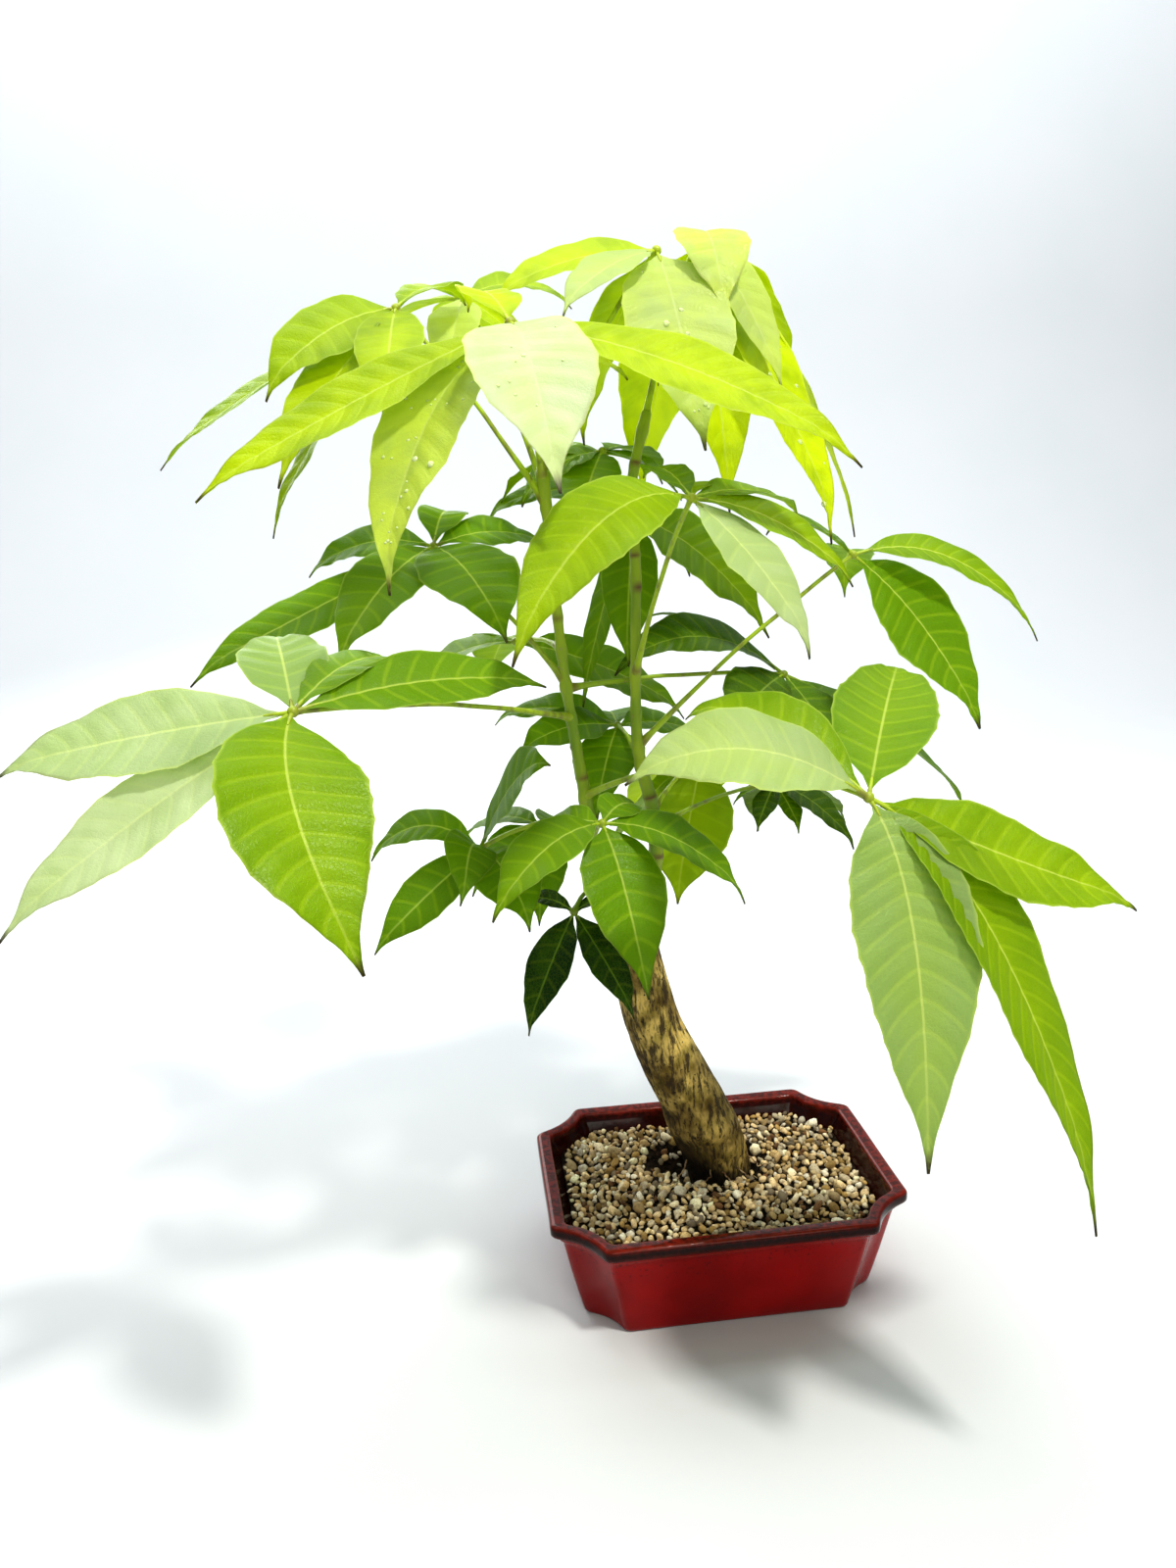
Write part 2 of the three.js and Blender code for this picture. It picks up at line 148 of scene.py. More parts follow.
def place(tree, scale=(1, 1, 1)):
    where = node(tree, "ShaderNodeTexCoord").outputs["Object"]
    return node(tree, "ShaderNodeMapping", {"Vector": where, "Scale": scale}).outputs[0]


def cloud(tree, where, scale, detail=3.0, roughness=0.55):
    inputs = {"Vector": where, "Scale": scale, "Detail": detail, "Roughness": roughness}
    return node(tree, "ShaderNodeTexNoise", inputs).outputs["Fac"]


def paint(tree, surface, colour, roughness, specular=0.5):
    tree.links.new(colour, surface.inputs["Base Color"])
    surface.inputs["Roughness"].default_value = roughness
    surface.inputs["Specular IOR Level"].default_value = specular


def bumpy(tree, surface, height, strength, distance):
    inputs = {"Height": height, "Strength": strength, "Distance": distance}
    bump = node(tree, "ShaderNodeBump", inputs)
    tree.links.new(bump.outputs[0], surface.inputs["Normal"])
    return bump.outputs[0]


def channels(tree, name):
    stored = node(tree, "ShaderNodeAttribute", attribute_name=name).outputs["Color"]
    return node(tree, "ShaderNodeSeparateColor", {0: stored}).outputs


# The blade reads where it is from two maps: metres across the midrib with the share of its length,
# and the share of its half width with the count of side veins passed.
def blade_material():
    material, tree, surface, output = new_material("leaf_blade")
    size = node(tree, "ShaderNodeUVMap", uv_map="blade").outputs[0]
    size = node(tree, "ShaderNodeSeparateXYZ", {0: size}).outputs
    vein = node(tree, "ShaderNodeUVMap", uv_map="veins").outputs[0]
    vein = node(tree, "ShaderNodeSeparateXYZ", {0: vein}).outputs
    under, tone, dry = channels(tree, "leaf_tone")[:3]
    where = place(tree)

    across = maths(tree, "ABSOLUTE", maths(tree, "SUBTRACT", size[0], 0.5))
    midrib = spread(tree, across, 0.0022, 0.0072, 1.0, 0.0)
    midrib = times(tree, midrib, spread(tree, size[1], 0.55, 1.0, 1.0, 0.35))
    passed = maths(tree, "FRACT", vein[1])
    nearest = maths(tree, "SUBTRACT", 0.5, maths(tree, "ABSOLUTE", maths(tree, "SUBTRACT", passed, 0.5)))
    side_vein = spread(tree, nearest, 0.03, 0.15, 1.0, 0.0)
    side_vein = times(tree, side_vein, spread(tree, vein[0], 0.75, 1.0, 1.0, 0.15))
    net = node(tree, "ShaderNodeTexVoronoi", {"Vector": where, "Scale": 620.0},
               feature="DISTANCE_TO_EDGE").outputs["Distance"]
    fine_vein = spread(tree, net, 0.01, 0.12, 1.0, 0.0)

    deep = blend_colours(tree, spread(tree, tone, 0.0, 0.5), (0.003, 0.042, 0.002), (0.20, 0.38, 0.004))
    green = blend_colours(tree, spread(tree, tone, 0.5, 1.0), deep, (0.68, 0.79, 0.003))
    mottle = cloud(tree, where, 55.0)
    green = blend_colours(tree, spread(tree, mottle, 0.4, 0.75, 0.0, 0.35), green, (0.16, 0.33, 0.004))
    green = blend_colours(tree, times(tree, fine_vein, 0.10), green, (0.50, 0.62, 0.03))
    faint = times(tree, side_vein, spread(tree, tone, 0.0, 0.5, 0.08, 0.22))
    green = blend_colours(tree, faint, green, (0.62, 0.76, 0.04))
    pale = blend_colours(tree, spread(tree, tone, 0.0, 0.6), (0.24, 0.38, 0.04), (0.70, 0.78, 0.20))
    green = blend_colours(tree, times(tree, midrib, 0.7), green, pale)
    # Painted sheen: a pale highlight painted into the colour of chosen leaflets, standing in for the glare of
    # light on them.
    painted_sheen = channels(tree, "leaf_bloom")[0]
    painted_sheen = times(tree, painted_sheen, spread(tree, mottle, 0.3, 0.7, 0.8, 1.0))
    green = blend_colours(tree, painted_sheen, green, (0.74, 0.79, 0.62))
    margin = spread(tree, vein[0], 0.93, 1.0, 0.0, 0.4)
    green = blend_colours(tree, margin, green, pale)
    green = blend_colours(tree, times(tree, under, 0.35), green, (0.38, 0.54, 0.03))
    brown = times(tree, dry, spread(tree, cloud(tree, where, 260.0), 0.25, 0.5, 0.5, 1.0))
    green = blend_colours(tree, brown, green, (0.05, 0.022, 0.006))
    paint(tree, surface, green, 0.34, 0.24)
    grain = maths(tree, "ADD", times(tree, fine_vein, -0.4), cloud(tree, where, 900.0, 1.0))
    grain = maths(tree, "SUBTRACT", grain, times(tree, side_vein, 0.7))
    bumpy(tree, surface, grain, 0.45, 0.0004)

    # Light from behind comes through the blade brighter and yellower than it bounces off it.
    glow = node(tree, "ShaderNodeHueSaturation", {"Hue": 0.485, "Saturation": 1.05, "Value": 1.35,
                                                  "Color": green}).outputs[0]
    through = node(tree, "ShaderNodeBsdfTranslucent", {"Color": glow})
    mixed = node(tree, "ShaderNodeMixShader", {0: 0.5, 1: surface.outputs[0], 2: through.outputs[0]})
    tree.links.new(mixed.outputs[0], output.inputs["Surface"])
    return material


def stalk_material():
    material, tree, surface, _ = new_material("leaf_stalk")
    where = place(tree, (1, 1, 0.4))
    _, tone, dry = channels(tree, "leaf_tone")[:3]
    green = blend_colours(tree, tone, (0.18, 0.30, 0.008), (0.50, 0.64, 0.015))
    green = blend_colours(tree, spread(tree, cloud(tree, where, 160.0), 0.45, 0.7), green, (0.22, 0.24, 0.03))
    green = blend_colours(tree, dry, green, (0.16, 0.085, 0.02))
    paint(tree, surface, green, 0.42)
    bumpy(tree, surface, cloud(tree, where, 700.0), 0.3, 0.0003)
    return material


def stem_material():
    material, tree, surface, _ = new_material("green_stem")
    where = place(tree, (1, 1, 0.25))
    scar, woody, _ = channels(tree, "stem_tone")[:3]
    green = blend_colours(tree, spread(tree, cloud(tree, where, 90.0), 0.35, 0.7),
                          (0.19, 0.31, 0.010), (0.36, 0.46, 0.015))
    speck = spread(tree, cloud(tree, place(tree), 420.0, 2.0), 0.62, 0.7)
    green = blend_colours(tree, times(tree, speck, 0.6), green, (0.33, 0.30, 0.10))
    bark = blend_colours(tree, spread(tree, cloud(tree, where, 240.0), 0.4, 0.65),
                         (0.10, 0.07, 0.025), (0.30, 0.24, 0.08))
    green = blend_colours(tree, woody, green, bark)
    green = blend_colours(tree, scar, green, (0.15, 0.075, 0.02))
    paint(tree, surface, green, 0.5)
    bumpy(tree, surface, cloud(tree, where, 420.0, 4.0), 0.5, 0.0006)
    return material


def bark_material():
    material, tree, surface, _ = new_material("bark")
    along = place(tree, (1, 1, 0.22))
    plain = place(tree)
    shade, foot, _ = channels(tree, "bark_tone")[:3]
    patches = cloud(tree, plain, 45.0, 4.0)
    colour = blend_colours(tree, spread(tree, patches, 0.38, 0.66), (0.13, 0.075, 0.005), (0.86, 0.62, 0.18))
    moss = spread(tree, cloud(tree, plain, 95.0, 3.0), 0.48, 0.66)
    colour = blend_colours(tree, times(tree, moss, 0.55), colour, (0.24, 0.18, 0.010))
    streak = spread(tree, cloud(tree, along, 330.0, 5.0, 0.7), 0.49, 0.60)
    colour = blend_colours(tree, times(tree, streak, 0.9), colour, (0.045, 0.027, 0.01))
    pore = spread(tree, cloud(tree, plain, 520.0, 2.0), 0.64, 0.72)
    colour = blend_colours(tree, pore, colour, (0.03, 0.018, 0.008))
    # Painted shade from the trunk's first tone channel darkens the bark, with dark streaks at the foot.
    colour = blend_colours(tree, times(tree, shade, 0.85), colour, (0.035, 0.022, 0.009))
    # Painted shadow: near-black where the trunk draws in under its left side.
    colour = blend_colours(tree, times(tree, foot, 0.96), colour, (0.010, 0.006, 0.003))
    paint(tree, surface, colour, 0.72, 0.25)
    grain = cloud(tree, along, 420.0, 6.0, 0.7)
    height = maths(tree, "SUBTRACT", grain, times(tree, streak, 0.6))
    bumpy(tree, surface, height, 0.8, 0.0012)
    return material


def glaze_material():
    material, tree, surface, _ = new_material("glaze")
    where = place(tree)
    rim, thin, shade_and_dark_band = channels(tree, "glaze_tone")[:3]
    pooled = cloud(tree, where, 16.0, 3.0)
    red = blend_colours(tree, spread(tree, pooled, 0.35, 0.7), (0.20, 0.002, 0.002), (0.33, 0.003, 0.003))
    speck = spread(tree, cloud(tree, where, 620.0, 2.0), 0.60, 0.68)
    high = node(tree, "ShaderNodeSeparateXYZ", {0: where}).outputs[2]
    high = spread(tree, high, 0.026, 0.046, 0.12, 0.75)
    red = blend_colours(tree, times(tree, speck, high), red, (0.045, 0.002, 0.003))
    brown = blend_colours(tree, spread(tree, cloud(tree, where, 420.0, 3.0), 0.42, 0.62),
                          (0.045, 0.006, 0.003), (0.16, 0.012, 0.006))
    red = blend_colours(tree, rim, red, brown)
    # Painted shade: near-black inside the tray, under the rim's lip, in the drain holes and at the foot, and
    # a near-black band on the rim's outer face.
    red = blend_colours(tree, times(tree, shade_and_dark_band, 0.9), red, (0.008, 0.002, 0.0015))
    red = blend_colours(tree, times(tree, thin, 0.6), red, (0.26, 0.020, 0.008))
    paint(tree, surface, red, 0.12, 0.15)
    height = maths(tree, "ADD", times(tree, cloud(tree, where, 60.0), 1.0),
                   times(tree, cloud(tree, where, 520.0, 1.0), 0.12))
    bumpy(tree, surface, height, 0.12, 0.0010)
    return material


def gravel_material():
    material, tree, surface, _ = new_material("gravel")
    where = place(tree)
    own = node(tree, "ShaderNodeAttribute", attribute_name="grain_tone").outputs["Color"]
    stain = spread(tree, cloud(tree, where, 420.0, 4.0), 0.45, 0.72, 0.0, 0.55)
    colour = blend_colours(tree, stain, own, (0.20, 0.13, 0.05))
    pit = spread(tree, cloud(tree, where, 1500.0, 2.0), 0.60, 0.70)
    colour = blend_colours(tree, times(tree, pit, 0.7), colour, (0.07, 0.045, 0.02))
    paint(tree, surface, colour, 0.85, 0.2)
    bumpy(tree, surface, cloud(tree, where, 1100.0, 4.0), 0.7, 0.0005)
    return material


def soil_material():
    material, tree, surface, _ = new_material("soil")
    where = place(tree)
    clump = cloud(tree, where, 260.0, 5.0)
    colour = blend_colours(tree, spread(tree, clump, 0.4, 0.7), (0.006, 0.004, 0.002), (0.035, 0.022, 0.012))
    fleck = spread(tree, cloud(tree, where, 900.0, 1.0), 0.68, 0.72)
    colour = blend_colours(tree, times(tree, fleck, 0.6), colour, (0.20, 0.12, 0.05))
    paint(tree, surface, colour, 0.95, 0.05)
    bumpy(tree, surface, cloud(tree, where, 700.0, 5.0), 1.0, 0.0012)
    return material


def root_material():
    material, tree, surface, _ = new_material("rootlet")
    where = place(tree)
    colour = blend_colours(tree, spread(tree, cloud(tree, where, 300.0), 0.4, 0.65),
                           (0.16, 0.08, 0.03), (0.50, 0.36, 0.18))
    paint(tree, surface, colour, 0.7)
    bumpy(tree, surface, cloud(tree, where, 1500.0), 0.5, 0.0003)
    return material


# Woven strands, with the open squares between them shown as dark soil.
def plastic_mesh_material():
    material, tree, surface, _ = new_material("drain_weave")
    where = node(tree, "ShaderNodeSeparateXYZ", {0: place(tree, (500, 500, 500))}).outputs
    strands = []
    for axis in (0, 1):
        step = maths(tree, "ABSOLUTE", maths(tree, "SUBTRACT", maths(tree, "FRACT", where[axis]), 0.5))
        strands.append(spread(tree, step, 0.18, 0.28, 1.0, 0.0))
    strand = maths(tree, "MAXIMUM", strands[0], strands[1])
    colour = blend_colours(tree, strand, (0.003, 0.002, 0.002), (0.030, 0.030, 0.032))
    dust = spread(tree, cloud(tree, place(tree), 300.0), 0.5, 0.8, 0.0, 0.4)
    colour = blend_colours(tree, dust, colour, (0.05, 0.035, 0.02))
    paint(tree, surface, colour, 0.6)
    bumpy(tree, surface, strand, 0.8, 0.0006)
    return material


def water_material():
    material, tree, surface, _ = new_material("water")
    where = place(tree)
    # Painted highlight: a pale green colour stands in for the light the clear drops catch.
    painted_glint = blend_colours(tree, cloud(tree, where, 200.0), (0.62, 0.76, 0.22), (0.86, 0.92, 0.60))
    paint(tree, surface, painted_glint, 0.05)
    surface.inputs["IOR"].default_value = 1.33
    surface.inputs["Transmission Weight"].default_value = 0.25
    return material


def floor_material():
    material, tree, surface, _ = new_material("floor")
    where = place(tree)
    colour = blend_colours(tree, cloud(tree, where, 3.0), (0.60, 0.62, 0.635), (0.64, 0.65, 0.66))
    paint(tree, surface, colour, 0.8, 0.2)
    return material


BLADE = blade_material()
STALK = stalk_material()
STEM = stem_material()
BARK = bark_material()
GLAZE = glaze_material()
GRAVEL = gravel_material()
SOIL = soil_material()
ROOTLET = root_material()
WEAVE = plastic_mesh_material()


# Mesh pieces

class Shape:
    """Points and faces of one piece, gathered from its parts."""

    def __init__(self):
        self.points = []
        self.faces = []
        self.kinds = []
        self.layers = {}
        self.count = 0

    def add(self, points, faces, kind=0, **layers):
        points = np.asarray(points, float).reshape(-1, 3)
        for face in faces:
            self.faces.append([corner + self.count for corner in face])
            self.kinds.append(kind)
        for name, values in layers.items():
            values = np.asarray(values, float)
            if values.ndim == 1:
                values = np.tile(values, (len(points), 1))
            self.layers.setdefault(name, []).append((self.count, values.reshape(len(points), -1)))
        self.points.append(points)
        self.count += len(points)

    def finish(self, name, materials, nodes, maps=(), colours=(), smooth=True):
        mesh = bpy.data.meshes.new(name)
        mesh.from_pydata(np.concatenate(self.points).tolist(), [], self.faces)
        mesh.polygons.foreach_set("material_index", self.kinds)
        mesh.polygons.foreach_set("use_smooth", [smooth] * len(self.faces))
        corners = np.empty(len(mesh.loops), np.int32)
        mesh.loops.foreach_get("vertex_index", corners)
        for layer in maps:
            values = self.gather(layer, 2)
            made = mesh.uv_layers.new(name=layer)
            made.data.foreach_set("uv", values[corners].astype(np.float32).ravel())
        for layer in colours:
            values = self.gather(layer, 3)
            values = np.concatenate([values, np.ones((self.count, 1))], axis=1)
            made = mesh.color_attributes.new(layer, "FLOAT_COLOR", "POINT")
            made.data.foreach_set("color", values.astype(np.float32).ravel())
        for material in materials:
            mesh.materials.append(material)
        mesh.validate()
        mesh.set_sharp_from_angle(angle=math.radians(75))
        piece = bpy.data.objects.new(name, mesh)
        bpy.context.scene.collection.objects.link(piece)
        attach(piece, "root")
        if nodes:
            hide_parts(*nodes)
        return piece

    def gather(self, layer, width):
        values = np.zeros((self.count, width))
        for start, part in self.layers.get(layer, []):
            values[start:start + len(part)] = part
        return values


def unit(vectors):
    return vectors / np.maximum(np.linalg.norm(vectors, axis=-1, keepdims=True), 1e-12)


def ring_faces(rings, sides, first=0, closed_start=True, closed_end=True):
    faces = []
    for row in range(rings - 1):
        for k in range(sides):
            a = first + row * sides + k
            b = first + row * sides + (k + 1) % sides
            faces.append((a, b, b + sides, a + sides))
    if closed_start:
        faces.append(tuple(range(first + sides - 1, first - 1, -1)))
    if closed_end:
        start = first + (rings - 1) * sides
        faces.append(tuple(range(start, start + sides)))
    return faces


# Rings of points round a path, with a frame that doesn't twist along it.
def tube_rings(path, radii, sides):
    path = np.asarray(path, float)
    tangents = unit(np.gradient(path, axis=0))
    side = np.cross(tangents[0], (0.3, 0.1, 1.0) if abs(tangents[0][2]) < 0.9 else (1.0, 0.2, 0.0))
    side = side / np.linalg.norm(side)
    angles = np.arange(sides) * 2 * math.pi / sides
    rings = []
    for point, tangent, radius in zip(path, tangents, radii):
        side = side - tangent * side.dot(tangent)
        side = side / np.linalg.norm(side)
        other = np.cross(tangent, side)
        around = np.outer(np.cos(angles), side) + np.outer(np.sin(angles), other)
        rings.append(point + around * radius)
    return np.array(rings)


# A smooth curve through the points, with centripetal spacing.
def smooth_path(points, steps=24):
    points = [np.array(p, float) for p in points]
    points = [2 * points[0] - points[1]] + points + [2 * points[-1] - points[-2]]
    made = []
    for i in range(1, len(points) - 2):
        p0, p1, p2, p3 = points[i - 1:i + 3]
        knots = [0.0]
        for a, b in ((p0, p1), (p1, p2), (p2, p3)):
            knots.append(knots[-1] + math.sqrt(np.linalg.norm(b - a)))
        t0, t1, t2, t3 = knots
        for t in np.linspace(t1, t2, steps, endpoint=False):
            a1 = (t1 - t) / (t1 - t0) * p0 + (t - t0) / (t1 - t0) * p1
            a2 = (t2 - t) / (t2 - t1) * p1 + (t - t1) / (t2 - t1) * p2
            a3 = (t3 - t) / (t3 - t2) * p2 + (t - t2) / (t3 - t2) * p3
            b1 = (t2 - t) / (t2 - t0) * a1 + (t - t0) / (t2 - t0) * a2
            b2 = (t3 - t) / (t3 - t1) * a2 + (t - t1) / (t3 - t1) * a3
            made.append((t2 - t) / (t2 - t1) * b1 + (t - t1) / (t2 - t1) * b2)
    made.append(points[-2])
    return np.array(made)


def smoothstep(low, high, value):
    share = np.clip((value - low) / (high - low), 0, 1)
    return share * share * (3 - 2 * share)


# Glazed tray

RIM_LENGTH = 180
RIM_WIDTH = 138
RIM_NOTCH = 24
RIM_HEIGHT = 6.5
RIM_OVERHANG = 5
TRAY_HEIGHT = 56
TRAY_BASE = (148, 107, 18)
TRAY_WALL = 6
TRAY_FLOOR = 7
DRAIN_RADIUS = 7
DRAIN_SPOTS = (-35, 35)
NOTCH_HOLLOW = 0.12


def inset_notch(notch, inset):
    return notch - (2 - math.sqrt(2)) * inset


# A rectangle with hollow corner cuts, its eight edges rounded off by the glaze.
def notched_outline(length, width, notch, easing=3.0):
    corners = []
    for sx, sy in ((1, 1), (-1, 1), (-1, -1), (1, -1)):
        on_side = np.array((sx * length / 2, sy * (width / 2 - notch)))
        on_end = np.array((sx * (length / 2 - notch), sy * width / 2))
        middle = (on_side + on_end) / 2 - np.array((sx, sy)) * NOTCH_HOLLOW * notch * 2
        pair = (on_side, middle, on_end) if sx == sy else (on_end, middle, on_side)
        corners.append(pair)
    points = []
    for index, (start, middle, end) in enumerate(corners):
        share = min(0.22, easing / max(notch, 1))
        into = (corners[index - 1][2] - start) / np.linalg.norm(corners[index - 1][2] - start)
        after = corners[(index + 1) % 4][0]
        onward = (after - end) / np.linalg.norm(after - end)

        def arc(t):
            return (1 - t) ** 2 * start + 2 * t * (1 - t) * middle + t * t * end

        def round_off(a, b, c):
            return [(1 - t) ** 2 * a + 2 * t * (1 - t) * b + t * t * c for t in (0, 0.25, 0.5, 0.75, 1)]

        points += round_off(start + into * easing, start, arc(share))
        points += [arc(t) for t in np.linspace(share, 1 - share, 9)[1:-1]]
        points += round_off(arc(1 - share), end, end + onward * easing)
        straight = np.linspace(0, 1, 14)[1:-1]
        first = end + onward * easing
        last = after - onward * easing
        points += [first + (last - first) * t for t in straight]
    return np.array(points)


def tray_widths(z, inset):
    share = z / (TRAY_HEIGHT - RIM_HEIGHT)
    top = (RIM_LENGTH - 2 * RIM_OVERHANG, RIM_WIDTH - 2 * RIM_OVERHANG, inset_notch(RIM_NOTCH, RIM_OVERHANG))
    length, width, notch = (low + (high - low) * share for low, high in zip(TRAY_BASE, top))
    return length - 2 * inset, width - 2 * inset, inset_notch(notch, inset)


def rim_widths(inset):
    return RIM_LENGTH - 2 * inset, RIM_WIDTH - 2 * inset, inset_notch(RIM_NOTCH, inset)


def make_tray():
    # Each level: widths, height, then how much it is rim, thin glaze on an edge, and darkened: painted shade
    # inside, under the rim's lip and at the foot, and a near-black band round the rim.
    levels = [
        (tray_widths(0, 4.0), 0.0, 0, 0, 0.3), (tray_widths(0, 1.3), 0.0, 0, 0.2, 0.3),
        (tray_widths(0.4, 0.5), 0.35, 0, 0.6, 0), (tray_widths(1.3, 0.05), 1.3, 0, 0.5, 0),
        (tray_widths(2.6, 0), 2.6, 0, 0.1, 0), (tray_widths(6, -0.1), 6, 0, 0, 0),
        (tray_widths(12, -0.2), 12, 0, 0, 0), (tray_widths(20, -0.25), 20, 0, 0, 0),
        (tray_widths(28, -0.2), 28, 0, 0, 0), (tray_widths(36, -0.05), 36, 0, 0, 0),
        (tray_widths(42, 0.1), 42, 0, 0, 0), (tray_widths(45, 0.15), 44.6, 0, 0, 0.2),
        (tray_widths(46, -0.2), 45.6, 0, 0.3, 0), (tray_widths(46, -1.0), 46.2, 0, 0.6, 0),
        (tray_widths(46.5, -1.5), 47.0, 0.2, 0.4, 0), (tray_widths(47, -1.6), 48.4, 0.3, 0, 0.3),
        (tray_widths(47, -1.9), 49.2, 0.5, 0, 0.7), (rim_widths(2.2), 49.7, 0.7, 0, 0.8),
        (rim_widths(0.7), 50.0, 1, 0.2, 0.6), (rim_widths(0.1), 50.7, 1, 0.2, 0.8),
        (rim_widths(0.0), 52.2, 1, 0, 1), (rim_widths(0.0), 53.6, 1, 0, 1),
        (rim_widths(0.15), 54.7, 1, 0.2, 0.7), (rim_widths(0.7), 55.5, 1, 0.8, 0.2),
        (rim_widths(1.5), 55.95, 1, 0.6, 0), (rim_widths(2.6), 56.0, 1, 0.1, 0),
        (rim_widths(4.4), 55.7, 1, 0, 0), (rim_widths(6.0), 55.6, 1, 0.1, 0),
        (rim_widths(6.9), 55.3, 1, 0.5, 0), (rim_widths(7.45), 54.6, 1, 0.5, 0),
        (rim_widths(7.6), 53.2, 1, 0, 0.6), (rim_widths(8.4), 50.5, 0.8, 0, 1),
        (tray_widths(46, 6.0), 46, 0.5, 0, 1), (tray_widths(30, 6.0), 30, 0.5, 0, 1),
        (tray_widths(12, 6.0), 12, 0.5, 0, 1), (tray_widths(8.5, 6.4), 8.5, 0.5, 0, 1),
        (tray_widths(7, 8.0), 7, 0.5, 0, 1),
    ]
    rings = []
    tones = []
    for widths, z, rim, thin, shade_and_dark_band in levels:
        outline = notched_outline(*widths)
        rings.append(np.column_stack([outline, np.full(len(outline), z)]))
        tones.append(np.tile((rim, thin, shade_and_dark_band), (len(outline), 1)))
    rings = np.array(rings)
    sides = rings.shape[1]
    # Fired clay is never quite true, so the walls wander by a few tenths.
    for row in range(4, len(levels) - 3):
        for k in range(sides):
            x, y, z = rings[row, k]
            drift = noise.noise(Vector((x / 34, y / 34, z / 20 + 3.0)))
            outward = np.array((x, y, 0.0)) / math.hypot(x, y)
            rings[row, k] += outward * drift * 0.35

    made = bmesh.new()
    marks = made.verts.layers.float_color.new("glaze_tone")
    grid = []
    for ring, tone in zip(rings, tones):
        row = [made.verts.new(point * MM) for point in ring]
        for vert, mark in zip(row, tone):
            vert[marks] = (*mark, 1.0)
        grid.append(row)
    for low, high in zip(grid, grid[1:]):
        for k in range(sides):
            made.faces.new((low[k], low[(k + 1) % sides], high[(k + 1) % sides], high[k]))

    drains = []
    for z in (0.0, TRAY_FLOOR):
        layer = []
        for x in DRAIN_SPOTS:
            circle = []
            for k in range(40):
                angle = 2 * math.pi * k / 40
                spot = Vector((x + DRAIN_RADIUS * math.cos(angle), DRAIN_RADIUS * math.sin(angle), z)) * MM
                circle.append(made.verts.new(spot))
                # The drain holes' walls take painted shade.
                circle[-1][marks] = (0.5, 0.0, 0.6, 1.0)
            layer.append(circle)
        drains.append(layer)
    for below, above in zip(*drains):
        for k in range(40):
            made.faces.new((below[(k + 1) % 40], below[k], above[k], above[(k + 1) % 40]))
    for outer, layer in ((grid[0], drains[0]), (grid[-1], drains[1])):
        edges = []
        for loop in (outer, *layer):
            for k, vert in enumerate(loop):
                edges.append(made.edges.get((vert, loop[(k + 1) % len(loop)])))
        bmesh.ops.triangle_fill(made, use_beauty=True, edges=edges)
    bmesh.ops.recalc_face_normals(made, faces=made.faces)
    mesh = bpy.data.meshes.new("tray")
    made.to_mesh(mesh)
    made.free()
    mesh.polygons.foreach_set("use_smooth", [True] * len(mesh.polygons))
    mesh.set_sharp_from_angle(angle=math.radians(50))
    mesh.materials.append(GLAZE)
    tray = bpy.data.objects.new("tray", mesh)
    bpy.context.scene.collection.objects.link(tray)
    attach(tray, "root")
    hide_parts("pot")


make_tray()


# Soil and gravel

HOLLOW_CENTRE = (0, 16, 54)
HOLLOW_RADII = (33, 26, 20)


# How far from the middle of the dug-out bowl a spot is, 1 at the bowl's widest.
def bowl_share(x, y):
    return math.hypot((x - HOLLOW_CENTRE[0]) / HOLLOW_RADII[0], (y - HOLLOW_CENTRE[1]) / HOLLOW_RADII[1])


def soil_height(x, y):
    share = bowl_share(x, y)
    level = 45.2 + 0.9 * noise.noise(Vector((x / 17, y / 17, 1.7)))
    if share < 1:
        level = min(level, HOLLOW_CENTRE[2] - HOLLOW_RADII[2] * math.sqrt(1 - share * share) - 0.8)
    clods = 0.9 * noise.noise(Vector((x / 4.2, y / 4.2, 5.0)))
    crumbs = 0.6 * noise.noise(Vector((x / 1.7, y / 1.7, 9.0)))
    return level + clods + crumbs


def make_soil():
    outline = notched_outline(*tray_widths(44, TRAY_WALL + 0.3))
    base = notched_outline(*tray_widths(8.6, TRAY_WALL + 0.5))
    sides = len(outline)
    shares = np.linspace(1, 0.012, 46)
    rings = [np.column_stack([base * 0.9, np.full(sides, 8.8)]), np.column_stack([base, np.full(sides, 8.8)])]
    for share in shares:
        ring = outline * share
        heights = [soil_height(x, y) for x, y in ring]
        rings.append(np.column_stack([ring, heights]))
    rings = np.array(rings) * MM
    shape = Shape()
    shape.add(rings, ring_faces(len(rings), sides))
    shape.finish("soil_bed", [SOIL], ["potting_soil"])


def inside_tray(x, y, margin):
    length, width, notch = tray_widths(47, TRAY_WALL + margin)
    if abs(x) > length / 2 or abs(y) > width / 2:
        return False
    cut = length / 2 + width / 2 - notch * (1 + 2 * NOTCH_HOLLOW)
    return abs(x) + abs(y) < cut


def grain_bases(count):
    base = bmesh.new()
    bmesh.ops.create_icosphere(base, subdivisions=2, radius=1)
    base.verts.ensure_lookup_table()
    ball = np.array([vert.co[:] for vert in base.verts])
    faces = [[vert.index for vert in face.verts] for face in base.faces]
    base.free()
    shapes = []
    for _ in range(count):
        points = ball * (1 + 0.10 * np.array([[rng.uniform(-1, 1)] for _ in ball]))
        for _ in range(9):
            facing = unit(np.array([rng.gauss(0, 1) for _ in range(3)]))
            beyond = np.maximum(points @ facing - rng.uniform(0.48, 0.82), 0)
            points = points - np.outer(beyond, facing) * 0.9
        shapes.append(points)
    return shapes, faces


